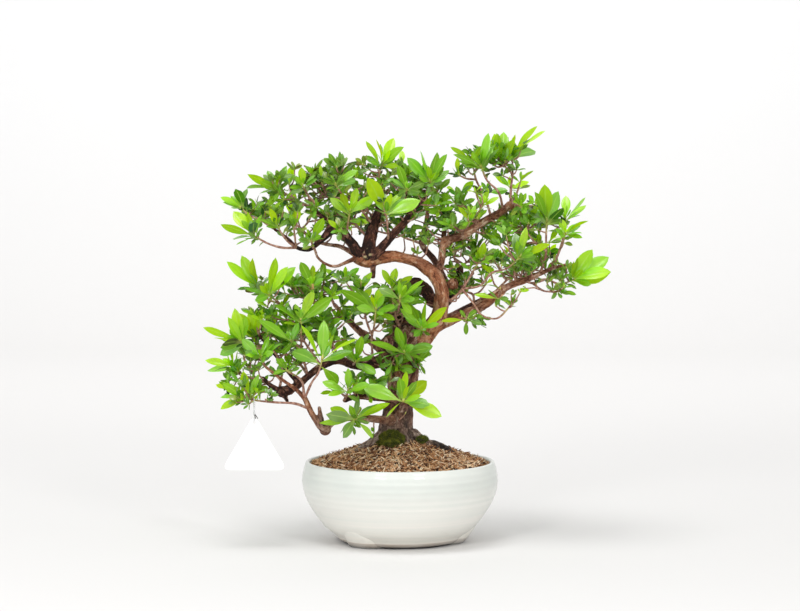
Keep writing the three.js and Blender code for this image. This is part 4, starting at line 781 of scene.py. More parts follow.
         ([(-78, -84, 182)], 38, 0.45, 0, (-99, 217, 0.88), (-66, 208, 0.85), (-76, 222, 0.7),
          (-42, 203, 0.95), (-62, 158, 0.65), (-108, 190, 0.45))),
        ([(-56, -57, 141)],
         ([(-52, -81, 152)], 23, 0.6, 0, (-78, 160, 0.7), (-52, 174, 0.65), (-72, 146, 0.7),
          (-30, 157, 0.6))),
        ([(-47, -19, 177.5)],
         ([(-44, -57, 180)], 30, 0.5, 0, (-14, 190, 0.5), (-38, 206, 0.52), (-56, 200, 0.5),
          (-24, 168, 0.5))),
        ([(-50, -40, 123.5)],
         ([(-45, -78, 122)], 37, 0.4, 0, (-81, 118.5, 0.7), (-70, 134, 0.78), (-10, 138.5, 0.78),
          (-27, 104, 0.88), (-60, 108, 0.4))),
        ([(-12, -19, 143.5)],
         ([(3, -73, 140)], 38, 0.7, 0, (6, 171, 0.8), (27, 161, 0.88), (42, 125, 1), (-14, 124, 0.88),
          (-38, 155, 0.7))),
        ([(3, -11, 189)], ([(4, -51, 189)], 32, 0.5, 1, (33, 196, 0.5), (27, 180, 0.5), (-30, 200, 0.55))),
        ([(25, -5, 207.5)],
         ([(22, -38, 213)], 28, 0.7, 0, (0, 233.5, 0.6), (26, 242, 0.88), (47, 235, 0.85), (10, 238, 0.7))),
        ([(-66, 76, 238), (-70, 78, 246)], ([(-86, 76, 258)], 25, 0.8, 2), ([(-56, 97, 262)], 25, 0.6, 2)),
        ([(-34, 51, 205), (-32, 62, 208)], ([(-50, 94, 226)], 25, 0.7, 2), ([(-14, 78, 232)], 25, 0.85, 2)),
        ([(-92, -30, 165.5), (-102, 5, 180)], ([(-126, 35, 206)], 25, 0.85, 2),
         ([(-98, 51, 208)], 25, 0.6, 2)),
    ],
}

# Diameters of a stem and of a side twig at the root and of both at the tip; longer twigs than the last bow.
TWIG_ROOT, SIDE_ROOT, TWIG_TIP, BOWED = 2.9, 2.3, 1.7, 24
# Whorls: how far their axis turns up, how far below the twig's end their first leaf and the next ones stand,
# and the degrees from whorl to whorl and of sway; then the tilt of a leaf in degrees, the most depth that a
# known leaf has for what is seen of it, and the seeds of the draws.
WHORL_UPRIGHT, WHORL_DROP, WHORL_SPACING, WHORL_TURN, WHORL_SWAY = 0.8, 0.7, 1.25, 61, 50
TILT_LEAST, TILT_MORE, DEEPEST, FIRST_SEED, SEED_STEP = 38, 40, 0.75, 12345, 7919
CLEAR, MARKS = 8, np.array([0.55, 0.78, 1.0])  # enough room between marks at these shares of two leaves
FACING, FRONT, GOLDEN = 0.6, 30, 137.5  # leaves turn forward up to this y, and back behind it
TURNS = (0, 16, -16, 32, -32, 48, -48, 66, -66)  # degrees that a leaf tries for the most room
LEAF_WIDTH, LEAF_ROLL, OLDEST, OLD_LEAVES = 0.155, 0.6, 1.2, 5
FINE_BLADE, SMALL_BLADE = (10, 7), (6, 5)  # rows and columns of points
TWIG_STEP, TWIG_SIDES, BUD_SIDES = 2.2, 7, 6


def draws(seed):
    """Endless numbers from 0 to 1: state = 1664525 state + 1013904223, modulo 2^32."""
    state = seed % 2**32
    while True:
        state = (state * 1664525 + 1013904223) % 2**32
        yield state / 2**32


def turned(v, axis, degrees):
    """A vector turned about a unit axis."""
    a = math.radians(degrees)
    return v * math.cos(a) + np.cross(axis, v) * math.sin(a) + axis * axis.dot(v) * (1 - math.cos(a))


def facing(base):
    """The way to which a leaf at base turns its upper side, besides up."""
    return [0, -FACING if base[1] < FRONT else FACING, 0]


def twig_routes(stem, shoots):
    """The twigs of a spray as lists of true points: the stem runs on into the first shoot."""
    end = np.array(stem[-1], float)
    routes = []
    for i, ((*bends, at), *_) in enumerate(shoots):
        at = np.array(at, float)
        middle = [tuple(end + (at - end) * [0.55, 0.5, 0.35])] if np.linalg.norm(at - end) > BOWED else []
        routes.append(sight(([stem[-1]] if i else stem) + (bends or middle) + [tuple(at)]))
    return routes


def reach_of_known(at, end, leaf, tip, size, depth):
    """A leaf whose tip is seen at x and z: its depth is what its length leaves, to the front or the back."""
    x, z = tip
    seen = math.hypot(x - at[0], z - at[2])
    hidden = math.sqrt(max(0, (leaf * (0.95 + 0.2 * size)) ** 2 - seen * seen))
    y = at[1] + (-1 if depth < 0.5 else 1) * (0.5 + 0.5 * depth) * min(hidden, DEEPEST * seen)
    return sight([(x, y, z)])[0] - end


taken = [np.full((1, 3), np.inf)]  # marks along the leaves that stand already


def whorls(number, stem, shoots):
    """Base, reach, upper side and freshness of each leaf of a spray's whorls, by the rule of its solids."""
    draw = draws(FIRST_SEED + SEED_STEP * number)
    found = []
    for ((*_, at), leaf, fresh, more, *known), route in zip(shoots, twig_routes(stem, shoots)):
        end = route[-1]
        twig = unit(end - route[-2])
        axis = unit(twig + [0, 0, WHORL_UPRIGHT])
        first = unit(np.cross([1, 0.3, 0], axis))
        reaches = []
        for i in range(len(known) + more):
            size, depth, lean = next(draw), next(draw), next(draw)
            if i < len(known):
                *tip, shade = known[i]
                reaches.append((reach_of_known(at, end, leaf, tip, size, depth), shade))
            else:
                length, tilt = leaf * (0.68 + 0.3 * size), math.radians(TILT_LEAST + TILT_MORE * lean)
                turn = GOLDEN * i + WHORL_SWAY * depth + WHORL_TURN * number
                outward = turned(first, axis, turn) * math.sin(tilt) * length
                reaches.append((outward + axis * math.cos(tilt) * length, fresh))
        reaches.sort(key=lambda pair: -pair[0].dot(twig) / np.linalg.norm(pair[0]))
        for i, (reach, shade) in enumerate(reaches):
            drop = twig * (WHORL_DROP + WHORL_SPACING * i)
            base, others = end - drop, np.vstack(taken)[None]

            def room(way):
                marks = base + MARKS[:, None] * way
                return min(CLEAR, np.linalg.norm(others - marks[:, None], axis=2).min())

            way = max((turned(reach + drop, axis, turn) for turn in TURNS), key=room)
            taken.append(base + MARKS[:, None] * way)
            found.append((base, way, axis + facing(base), shade))
    return found


def blades(base, reach, up, age, rows, columns, rng):
    """Leaf blades on a grid u (0 to 1 along), v (-1 to 1 across). Half width 0.155 L sin(pi u^1.5)^q with
    q = 0.85 for a young, pointed leaf and 0.55 for an old, blunt one, drawn in to a stalk at the root; the
    midrib bows by 0.2 L (u - u^2), the sides fold up from it and roll back at the margin, each blade rolls
    about its midrib by about LEAF_ROLL, and its tip twists. Returns points (n, rows, columns, 3) and uv."""
    n = len(base)
    length, years = np.linalg.norm(reach, axis=1)[:, None, None], age[:, None, None]
    along = unit(reach)
    over = unit(up - along * (up * along).sum(1)[:, None])
    side = np.cross(over, along)
    u = np.linspace(0, 1, rows)[:, None] ** 0.9
    v = np.linspace(-1, 1, columns)
    outline = np.sin(math.pi * np.clip(u, 0, 1) ** 1.5) ** (0.85 - 0.3 * np.minimum(years, 1))
    width = outline * (1 - np.exp(-(u / 0.22) ** 2)) * LEAF_WIDTH
    width = length * (width * (0.8 + 0.4 * rng.random((n, 1, 1)) + 0.14 * years) + 0.012 * (1 - u))
    fold = 0.18 + 0.4 * rng.random((n, 1, 1))
    arch = 0.2 + 0.07 * rng.normal(size=(n, 1, 1))
    turn, more = rng.normal(size=(2, n, 1, 1))
    twist = LEAF_ROLL * turn + 0.4 * more * u
    wave = 0.06 * np.sin(9 * u + 6.3 * rng.random((n, 1, 1))) * np.abs(v)
    cross = width * v
    lift = width * (fold * np.abs(v) ** 1.4 - 0.28 * v**4 + wave)
    sideways = cross * np.cos(twist) - lift * np.sin(twist)
    upward = cross * np.sin(twist) + lift * np.cos(twist) + arch * (u - u * u) * length
    grid = (base[:, None, None] + (u * length)[..., None] * along[:, None, None]
            + sideways[..., None] * side[:, None, None] + upward[..., None] * over[:, None, None])
    return grid, np.stack(np.broadcast_arrays(u, 0.5 + 0.5 * v, cross)[:2], -1)


# Leaf: glossy above with a pale midrib and seven pairs of side veins, duller and paler below, blotched at
# about 7 mm; it lets light through. Lime when young, then dark green, bluish and at last olive.
leaf, tree = new_material("azalea_leaf")
place = add(tree, "TexCoord")
age, tone = (add(tree, "Attribute", attribute_name=name) for name in ("age", "tone"))
split = add(tree, "SeparateXYZ", Vector=add(tree, "UVMap", uv_map="grain"))
off = add(tree, "Math", operation="SUBTRACT", i0=(split, "Y"), i1=0.5)
off = add(tree, "Math", operation="ABSOLUTE", i0=off)
rib = add(tree, "MapRange", Value=off, From_Min=0.075, From_Max=0.02)
beat = add(tree, "Math", operation="MULTIPLY_ADD", i0=off, i1=-1.5, i2=(split, "X"))
beat = add(tree, "Math", operation="MULTIPLY", i0=beat, i1=44.0)
beat = add(tree, "Math", operation="SINE", i0=beat)
veins = add(tree, "MapRange", Value=beat, From_Min=0.8)
years = add(tree, "Math", operation="MULTIPLY", i0=(age, "Fac"), i1=0.83)
green = add(tree, "ValToRGB", Fac=years, stops=[
    (0.0, "#c0e400"), (0.13, "#a2d400"), (0.26, "#86c20a"), (0.42, "#56a010"), (0.58, "#36701e"),
    (0.72, "#284c34"), (0.84, "#364a2c"), (0.93, "#6e6230"), (1.0, "#7c6834")])
blotch = add(tree, "TexNoise", Vector=(place, "Object"), Scale=140.0)
share = add(tree, "ValToRGB", Fac=blotch, stops=[(0.4, 0.0), (0.65, 0.2)])
blotched = add(tree, "Mix", data_type="RGBA", Factor=share, A=green, B="#5c9c0c")
bright = add(tree, "MapRange", Value=(tone, "Fac"), To_Min=0.76, To_Max=1.4)
hue = add(tree, "MapRange", Value=(tone, "Fac"), To_Min=0.485, To_Max=0.512)
toned = add(tree, "HueSaturation", Color=blotched, Value=bright, Hue=hue)
share = add(tree, "ValToRGB", Fac=veins, stops=[(0.0, 0.0), (1.0, 0.13)])
veined = add(tree, "Mix", data_type="RGBA", Factor=share, A=toned, B="#aada30")
share = add(tree, "ValToRGB", Fac=rib, stops=[(0.0, 0.0), (1.0, 0.45)])
ribbed = add(tree, "Mix", data_type="RGBA", Factor=share, A=veined, B="#b9dc6a")
stalk = add(tree, "MapRange", Value=(split, "X"), From_Min=0.36, From_Max=0.04, To_Max=0.85)
stalked = add(tree, "Mix", data_type="RGBA", Factor=stalk, A=ribbed, B="#cbd77c")
share = add(tree, "ValToRGB", Fac=(add(tree, "NewGeometry"), "Backfacing"), stops=[(0.0, 0.0), (1.0, 0.4)])
backed = add(tree, "Mix", data_type="RGBA", Factor=share, A=stalked, B="#94c43c")
relief = add(tree, "Math", operation="ADD", i0=veins, i1=rib)
veining = add(tree, "Bump", Height=relief, Strength=0.35, Distance=0.0004)
gloss = add(tree, "MapRange", Value=blotch, From_Min=0.3, From_Max=0.7, To_Min=0.25, To_Max=0.42)
wax = add(tree, "MapRange", Value=(tone, "Fac"), From_Min=0.25, From_Max=0.8)
shader = add(tree, "BsdfPrincipled", Base_Color=backed, Roughness=gloss, Normal=veining,
             Specular_IOR_Level=0.04, Coat_Weight=wax, Coat_Roughness=0.3, Coat_IOR=1.8)
lit = add(tree, "HueSaturation", Color=backed, Saturation=1.15, Value=1.5, Hue=0.487)
through = add(tree, "BsdfTranslucent", Color=lit)
thin = add(tree, "MapRange", Value=years, From_Max=0.7, To_Min=0.45, To_Max=0.1)
add(tree, "OutputMaterial", Surface=add(tree, "MixShader", i0=thin, i1=shader, i2=through))

# Bark of young twigs: smooth reddish brown with a grain of 3 mm, green towards the tip.
young, tree = new_material("young_bark")
place, age = add(tree, "TexCoord"), add(tree, "Attribute", attribute_name="age")
grain = add(tree, "TexNoise", Vector=(place, "Object"), Scale=330.0, Detail=3.0)
woody = add(tree, "ValToRGB", Fac=grain, stops=[(0.3, "#6a4335"), (0.5, "#a07260"), (0.72, "#cba794")])
shade = add(tree, "Mix", data_type="RGBA", Factor=(age, "Fac"), A="#b4bc58", B=woody)
bumps = add(tree, "Bump", Height=grain, Strength=0.5, Distance=0.0005)
shader = add(tree, "BsdfPrincipled", Base_Color=shade, Roughness=0.7, Normal=bumps)
add(tree, "OutputMaterial", Surface=shader)

# Bud scales: yellow green, flushed with salmon on the fat ones.
scales, tree = new_material("bud_scales")
tone = add(tree, "Attribute", attribute_name="tone")
split = add(tree, "SeparateXYZ", Vector=add(tree, "UVMap", uv_map="grain"))
pale = add(tree, "ValToRGB", Fac=split, stops=[(0.1, "#8f7a3c"), (0.5, "#c3c262"), (1.0, "#d9d98a")])
flushed = add(tree, "Mix", data_type="RGBA", Factor=(tone, "Fac"), A=pale, B="#d89c78")
shader = add(tree, "BsdfPrincipled", Base_Color=flushed, Roughness=0.5)
add(tree, "OutputMaterial", Surface=shader)

# Places where light shows through the plant: x and z as seen, and radius.
LIGHT = np.array([
    (-128, 309.5, 6), (-113, 329.5, 5), (-100, 319.5, 4), (-117, 313.5, 4), (-82, 348.5, 4), (-78, 336.5, 4),
    (-89, 367.5, 4), (-113, 347.5, 3), (-37, 359.5, 4), (-12, 379.5, 3), (-23, 320.5, 4), (-4, 327.5, 3.5),
    (-13, 324.5, 4), (-44, 313.5, 5), (7, 378.5, 4), (28, 336.5, 4), (20, 319.5, 5), (-70, 305.5, 4),
    (-62, 290, 9), (5, 298.5, 7), (-5, 296.5, 5), (40, 344.5, 4), (58, 324.5, 5), (63, 358.5, 6),
    (75, 360.5, 6), (86, 361.5, 4), (75, 338.5, 4), (92, 340.5, 5), (105, 355.5, 6), (117, 359.5, 6),
    (128, 361.5, 7), (132, 345.5, 6), (124, 376.5, 5), (78, 303.5, 4), (85, 301.5, 3), (100, 308.5, 4),
    (63, 304.5, 3), (36, 299.5, 3), (55, 279.5, 4), (98, 277.5, 5), (135, 309.5, 4), (130, 301.5, 4),
    (145, 305.5, 6), (151, 313.5, 3), (149, 279.5, 4), (162, 284.5, 7), (152, 329.5, 4), (100, 258.5, 5),
    (87, 255.5, 7), (75, 249.5, 8), (63, 238.5, 8), (140, 257.5, 5), (132, 258.5, 4), (108, 229.5, 8),
    (88, 231.5, 5), (-113, 266.5, 6), (-117, 250.5, 4), (-67, 241.5, 3), (-64, 235.5, 3), (-76, 203.5, 5),
    (-83, 210.5, 4), (-89, 194.5, 5), (-124, 185.5, 4), (-107, 185.5, 3), (-138, 200.5, 4), (-130, 159.5, 5),
    (-104, 143.5, 4), (-82, 156.5, 8), (-79, 141.5, 8), (-82, 169.5, 5), (-32, 238.5, 5), (-49, 238.5, 3),
    (-48, 222.5, 3), (-33, 222.5, 3), (-25, 195.5, 6), (-34, 197.5, 4), (-44, 167.5, 4), (-21, 167.5, 5),
    (-34, 134.5, 4), (-57, 159.5, 3), (30, 176.5, 8), (32, 165, 7), (40, 196.5, 8), (-5, 273.5, 8),
    (10, 271.5, 6),
])
# Stretches of limbs that stand bare in front: the first and last of their points.
BARE = {"arch": (3, 13), "knotUp": (0, 4), "knotRight": (0, 3), "branchApex": (2, 7), "branchRight": (2, 9),
        "branchLow": (5, 9), "trunk": (2, 4), "branchLeft": (3, 6)}
LIGHT_SHARE = 0.8  # how much of those radii stays free
bare = np.vstack([smooth_path(LIMBS[name][first:last + 1], 3.0) for name, (first, last) in BARE.items()])


def hides(points):
    """Whether any of these true points would cover a place where light or bare wood shows."""
    x, y, z = np.array(points, float).T
    scale = (VIEWER_DISTANCE + y) / VIEWER_DISTANCE
    x, z = x / scale, VIEWER_HEIGHT + (z - VIEWER_HEIGHT) / scale
    if (np.hypot(x[:, None] - LIGHT[:, 0], z[:, None] - LIGHT[:, 1]) < LIGHT_SHARE * LIGHT[:, 2]).any():
        return True
    gap = np.hypot(x[:, None] - bare[:, 0], z[:, None] - bare[:, 2])
    return bool(((gap < 0.5 * bare[:, 3] + 1) & (y[:, None] < bare[:, 1])).any())


class Foliage:
    """What a spray gathers before it is made: twigs, buds, and blades by how finely they are cut."""

    def __init__(self, seed):
        self.rng = np.random.default_rng(seed)
        self.parts, self.kinds, self.points = [], [], []
        self.leaves = {FINE_BLADE: [], SMALL_BLADE: []}

    def gather(self, kind, points, faces, age, tone, uv):
        """Keep a mesh of that material (0 twig, 1 leaf, 2 bud), with age, tone and uv of its points."""
        self.parts.append((points, faces))
        self.kinds.append(np.full(len(faces), kind))
        self.points.append(np.stack(np.broadcast_arrays(age, tone, *uv.T), -1))

    def twig(self, route, root, tip, green):
        """A wavy, knobbly twig, from diameter root to tip; the share green of it, at its end, isn't woody."""
        path = smooth_path(route, TWIG_STEP)
        wander = self.rng.normal(size=3) * 6.3
        t = np.linspace(0, 1, len(path))
        sway = 0.35 * np.sin(math.pi * t)[:, None] * np.stack([np.sin(5 * t + w) for w in wander], -1)
        radius = 0.5 * (root + (tip - root) * t) * (1 + 0.10 * np.sin(17 * t + wander[0]))
        points, faces, uv = tube(path + sway, radius, TWIG_SIDES)
        self.gather(0, points, faces, 1 - np.clip((uv[:, 0] - 1 + green) / green, 0, 1), 0.5, uv)

    def ring(self, base, axis, count, length, tilt, age, start):
        """Small leaves round an axis, turned by the golden angle, at about that tilt and age."""
        first = unit(np.cross([1, 0.3, 0.02], axis))
        for i in range(count):
            angle = math.radians(tilt + 12 * self.rng.normal())
            size = length * (0.78 + 0.44 * self.rng.random())
            outward = turned(first, axis, GOLDEN * i + start + 14 * self.rng.normal())
            reach = (outward * math.sin(angle) + axis * math.cos(angle)) * size
            older, sway = 0.12 * self.rng.normal(), 0.3 * self.rng.normal(size=3)
            if not hides(base + np.array([[0.6], [0.8], [1.0]]) * reach):
                leaf = (base, reach, axis + facing(base) + sway, np.clip(age + older, 0, OLDEST))
                self.leaves[SMALL_BLADE].append(leaf)

    def bud(self, base, axis, length, flush=0.0):
        """A spindle of scales: five rings of six points, widest below the middle."""
        path = base + axis * (length * np.linspace(0, 1, 5))[:, None]
        points, faces, uv = tube(path, length * np.array([0.16, 0.24, 0.22, 0.14, 0.05]), BUD_SIDES)
        self.gather(2, points, faces, 0.0, flush, uv)

    def build(self, name, replaces=()):
        """Cut the blades and make one piece of all that was gathered."""
        for (rows, columns), leaves in self.leaves.items():
            if leaves:
                base, reach, up, age = (np.array(values, float) for values in zip(*leaves))
                grid, uv = blades(base, reach, up, age, rows, columns, self.rng)
                size = rows * columns
                faces = copies(grid_faces(rows, columns, False), len(leaves), size)
                self.gather(1, grid.reshape(-1, 3), faces, age.repeat(size),
                            self.rng.random(len(leaves)).repeat(size), uv.reshape(-1, 2))
        age, tone, *uv = np.vstack(self.points).T
        new_piece(name, *join(self.parts), [young, leaf, scales], "leaf", replaces,
                  kinds=np.concatenate(self.kinds), floats={"age": age, "tone": tone}, uv=np.stack(uv, -1))


# Points of the wood, thinner than 16 mm and clear of the soil, that later twigs may leave from.
anchors = [path[(path[:, 3] < 16) & (path[:, 2] > 115)][::3, :3] for path in limb_paths.values()]

named = [(f"{group}_{i:02d}", *spray)
         for group, sprays in SPRAYS.items() for i, spray in enumerate(sprays, 1)]
for number, (name, stem, *shoots) in enumerate(named):
    spray = Foliage(100 + number)
    rng = spray.rng
    routes = twig_routes(stem, shoots)
    for i, (route, (_, _, fresh, *_)) in enumerate(zip(routes, shoots)):
        spray.twig(route, SIDE_ROOT if i else TWIG_ROOT, TWIG_TIP, 0.12 + 0.25 * fresh)
        anchors.append(smooth_path(route, 5.0)[:-1])
    for base, reach, up, fresh in whorls(number, stem, shoots):
        age = np.clip(1 - fresh + 0.06 * rng.normal(), 0, OLDEST)
        spray.leaves[FINE_BLADE].append((base, reach, up, age))
    for route, (_, size, fresh, *_) in zip(routes, shoots):
        end, twig = route[-1], unit(route[-1] - route[-2])
        axis = unit(twig + [0, 0, WHORL_UPRIGHT])
        spray.bud(end, axis, 0.16 * size)
        spray.ring(end, axis, 4, size * 0.5, 22, 0.9 - 0.9 * fresh, 60 * number)
        spray.ring(end - twig * 2, axis, 5, size * 0.72, 62, 1.0 - 0.6 * fresh, 90 * number)
        for k in range(OLD_LEAVES):
            spray.ring(end - twig * (3 + 2.6 * k), axis, 1, 9 + 6 * rng.random(), 76, 0.82 + 0.05 * k,
                       GOLDEN * k + 40 * number)
    spray.build(f"leafy_spray_{name}", [f"spray_{name}"])


# ---- Inner shoots
# Between the long shoots the crown is full of short old twigs, each with a rosette of small dark leaves
# and a bud. They grow from the wood and from the longer twigs.

# Rosettes in front, as seen: x and z of their root, the length of their leaves, and their age.
ROSETTES = {
    "crown": [(-105, 371.5, 9, 1.1), (-88, 366.5, 12, 1.15), (-63, 373.5, 14, 0.9), (-56, 375.5, 11, 0.95),
        (-36, 376.5, 10, 1.1), (-30, 371.5, 10, 0.9), (-3, 373.5, 10, 0.95), (-10, 365.5, 11, 1.0),
        (-127, 359.5, 11, 0.95), (-120, 361.5, 11, 0.9), (-82, 355.5, 11, 1.1), (-73, 360.5, 9, 1.0),
        (-102, 328.5, 11, 1.0), (-84, 327.5, 12, 1.0), (-72, 323.5, 12, 1.0), (-95, 345.5, 11, 0.8),
        (-125, 327.5, 12, 0.9), (-143, 303.5, 9, 0.9), (-97, 301.5, 10, 0.75), (-82, 309.5, 10, 0.8),
        (-55, 299.5, 8, 0.8), (-33, 349.5, 10, 1.0), (-24, 351.5, 10, 1.1), (-27, 329.5, 10, 0.8),
        (-16, 338.5, 9, 1.0), (0, 325.5, 9, 0.8), (14, 333.5, 11, 0.7), (26, 345.5, 10, 0.8),
        (13, 301.5, 9, 0.8), (28, 296.5, 10, 1.0), (17, 287.5, 8, 1.0), (38, 351.5, 13, 1.0),
        (47, 331.5, 10, 0.8)],
    "apex": [(68, 371.5, 10, 0.9), (78, 375.5, 12, 0.9), (94, 378.5, 9, 0.9), (103, 365.5, 9, 0.8),
        (116, 371.5, 11, 0.85), (81, 347.5, 8, 0.9), (37, 316.5, 13, 0.75), (62, 337.5, 9, 0.9),
        (55, 338.5, 11, 0.75), (53, 296.5, 9, 1.0), (61, 291.5, 10, 1.0), (30, 303.5, 12, 0.8),
        (77, 323.5, 8, 0.8), (85, 285.5, 10, 1.0), (70, 285.5, 10, 0.9), (100, 295.5, 12, 0.8),
        (113, 316.5, 13, 0.7), (128, 317.5, 11, 0.7), (138, 311.5, 9, 0.95), (163, 315.5, 8, 1.0),
        (106, 305.5, 13, 0.55), (95, 319.5, 10, 0.6), (70, 327.5, 10, 0.35), (75, 349.5, 10, 0.1)],
    "right": [(101, 275.5, 6, 0.9), (166, 273.5, 8, 1.1), (153, 251.5, 9, 1.05), (163, 254.5, 9, 0.7),
        (147, 258.5, 10, 1.05), (161, 261.5, 11, 1.0), (140, 276.5, 12, 0.95), (152, 279.5, 8, 1.0),
        (125, 281.5, 13, 0.8), (131, 269.5, 10, 0.9), (136, 257.5, 8, 0.9), (111, 246.5, 9, 1.0),
        (100, 252.5, 7, 0.9), (96, 235.5, 8, 0.9), (74, 225.5, 9, 0.85), (62, 224.5, 9, 0.85),
        (68, 221.5, 13, 0.95), (120, 249.5, 9, 0.15), (126, 253.5, 8, 0.2), (52, 273.5, 8, 0.8)],
    "left": [(-138, 261.5, 6, 0.9), (-141, 254.5, 6, 0.9), (-142, 249.5, 12, 1.0), (-119, 257.5, 8, 0.95),
        (-76, 261.5, 10, 0.75), (-62, 260.5, 10, 0.8), (-68, 253.5, 10, 0.85), (-53, 258.5, 9, 1.0),
        (-39, 258.5, 10, 0.7), (-132, 207.5, 10, 0.8), (-155, 185.5, 9, 0.8), (-149, 179.5, 9, 0.85),
        (-110, 192.5, 9, 1.0), (-102, 192.5, 8, 1.0), (-91, 179.5, 12, 0.75), (-138, 184.5, 13, 0.65),
        (-123, 164.5, 11, 0.7), (-160, 143.5, 10, 1.0), (-156, 153.5, 11, 0.95), (-164, 139.5, 7, 0.85),
        (-151, 137.5, 9, 0.8), (-134, 141.5, 8, 0.8), (-129, 145.5, 8, 0.8), (-144, 148.5, 9, 0.4),
        (-75, 208.5, 9, 1.0), (-55, 219.5, 7, 0.9), (-93, 208.5, 9, 0.85), (-138, 221.5, 11, 0.25)],
    "middle": [(-3, 256.5, 10, 1.0), (-17, 213.5, 10, 1.0), (-7, 209.5, 12, 0.75), (-8, 191.5, 12, 0.75),
        (-7, 173.5, 10, 0.7), (-11, 159.5, 10, 1.0), (-3, 150.5, 10, 0.8), (-24, 162.5, 7, 0.95),
        (-36, 161.5, 8, 0.85), (13, 200.5, 8, 0.75), (15, 171.5, 9, 0.6), (8, 181.5, 9, 0.7),
        (29, 204.5, 6, 1.0), (-48, 117.5, 10, 0.85), (-26, 109.5, 8, 0.7), (5, 127.5, 8, 0.8)],
}
# Clouds of them behind, as seen: middle and half size, how many, and the mean length and age of their leaves.
CLOUDS = {
    "crown": [((-40, 12, 350), (66, 44, 28), 100, 13, 0.95), ((-118, -6, 330), (38, 30, 22), 24, 13, 0.7),
        ((14, 6, 330), (34, 34, 38), 48, 14, 0.75), ((-60, 2, 318), (50, 30, 14), 28, 12, 0.95)],
    "apex": [((90, 12, 318), (50, 44, 26), 56, 13, 0.68), ((96, 6, 384), (30, 22, 14), 16, 13, 0.5),
        ((66, 14, 288), (30, 30, 20), 20, 12, 0.8), ((132, 4, 306), (30, 28, 26), 20, 14, 0.45)],
    "right": [((128, -2, 272), (50, 36, 15), 30, 12, 0.6), ((66, 4, 262), (24, 30, 22), 18, 11, 0.85),
        ((70, -20, 222), (24, 14, 6), 6, 10, 0.8)],
    "left": [((-112, -6, 205), (50, 38, 34), 66, 14, 0.66), ((-90, -8, 250), (38, 30, 14), 22, 13, 0.7),
        ((-150, -34, 160), (30, 18, 16), 14, 13, 0.5)],
    "middle": [((-18, -8, 236), (42, 32, 22), 40, 15, 0.72), ((-60, -6, 212), (30, 26, 30), 24, 15, 0.7),
        ((-8, -14, 178), (34, 24, 20), 22, 14, 0.75), ((-36, -40, 150), (30, 14, 18), 20, 13, 0.6)],
}
# The fattest buds, as seen: x, z and length.
FAT_BUDS = {"left": (-86, 255, 7), "right": (101, 245, 6), "apex": (119, 328, 6), "middle": (-108, 240, 6)}
REACH = 34  # the longest of the short twigs
TRIES = 6  # places that a shoot tries for one that hides no light
anchors = np.vstack(anchors)


def old_shoot(inner, tip, size, age, limit):
    """A short twig from the wood or twig nearest below to tip, with a rosette of old leaves and a bud."""
    rng = inner.rng
    gap = np.linalg.norm(anchors - tip, axis=1) + 0.8 * np.maximum(0, anchors[:, 2] - tip[2] + 4)
    if gap.min() > limit:
        return
    root = anchors[np.argmin(gap)]
    middle = root + (tip - root) * [0.6, 0.6, 0.35] + rng.normal(size=3) * 1.2
    inner.twig(np.array([root, middle, tip]), 1.9, 1.2, 0.12)
    axis = unit(unit(tip - middle) + [0, -0.15, 0.9])
    inner.ring(tip, axis, 6, size, 52, age, 360 * rng.random())
    inner.ring(tip, axis, 2, size * 0.5, 15, max(age - 0.4, 0), 360 * rng.random())
    inner.bud(tip, axis, 3.0)


front = anchors[anchors[:, 1] < 20]
for number, (name, clouds) in enumerate(CLOUDS.items()):
    inner = Foliage(500 + number)
    rng = inner.rng
    for x, z, size, age in ROSETTES[name]:
        near = front[np.argmin(np.hypot(front[:, 0] - x, front[:, 2] - z + 8))]
        old_shoot(inner, sight([(x, near[1] - 6, z)])[0], size * 1.1, age, 2 * REACH)
    for centre, half, count, size, age in clouds:
        for _ in range(count):
            for _ in range(TRIES):
                tip = sight([np.array(centre) + unit(rng.normal(size=3)) * rng.random() ** 0.4 * half])[0]
                if not hides([tip]):
                    break
            old = np.clip(age + 0.22 * rng.normal(), 0, 1)
            old_shoot(inner, tip, size * (1.25 - 0.4 * old), old, REACH)
    for x, z, length in [FAT_BUDS[name]] if name in FAT_BUDS else []:
        near = anchors[np.argmin(np.hypot(anchors[:, 0] - x, anchors[:, 2] - z) + 0.3 * anchors[:, 1])]
        inner.bud(near, unit([x - near[0], -2, max(z - near[2], 3)]), length, 0.9)
    inner.build(f"inner_shoots_{name}")


# ---- Tag on its wire
# A blank plate with rounded corners, cut from white plastic sheet, and a thin loop of soft wire that goes
# over a low twig and through the hole of the plate.

# White plastic sheet, with a sheen that is uneven at about 17 mm.
plastic, tree = new_material("white_tag_plastic")
place = add(tree, "TexCoord")
sheen = add(tree, "TexNoise", Vector=(place, "Object"), Scale=60.0)
shade = add(tree, "ValToRGB", Fac=sheen, stops=[(0.3, "#fbfcfc"), (0.7, "#ffffff")])
rough = add(tree, "MapRange", Value=sheen, To_Min=0.34, To_Max=0.46)
shader = add(tree, "BsdfPrincipled", Base_Color=shade, Roughness=rough)
add(tree, "OutputMaterial", Surface=shader)
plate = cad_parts["tag"]
plate.data.materials.clear()
plate.data.materials.append(plastic)

# Soft tinned wire, dulled in patches of 2 mm. It goes over the twig and through the tag's hole, and between
# them its two sides are twisted together; the cut ends stick out, and their dark colour is painted shade.
tinned, tree = new_material("tinned_wire")
place, tone = add(tree, "TexCoord"), add(tree, "Attribute", attribute_name="tone")
dulled = add(tree, "TexNoise", Vector=(place, "Object"), Scale=500.0)
shade = add(tree, "ValToRGB", Fac=dulled, stops=[(0.35, "#dcdee0"), (0.6, "#fbfbfb")])
# The cut ends are painted dark grey: painted shade.
shade = add(tree, "Mix", data_type="RGBA", Factor=(tone, "Fac"), A=shade, B="#5d5955")
shader = add(tree, "BsdfPrincipled", Base_Color=shade, Roughness=0.4)
add(tree, "OutputMaterial", Surface=shader)

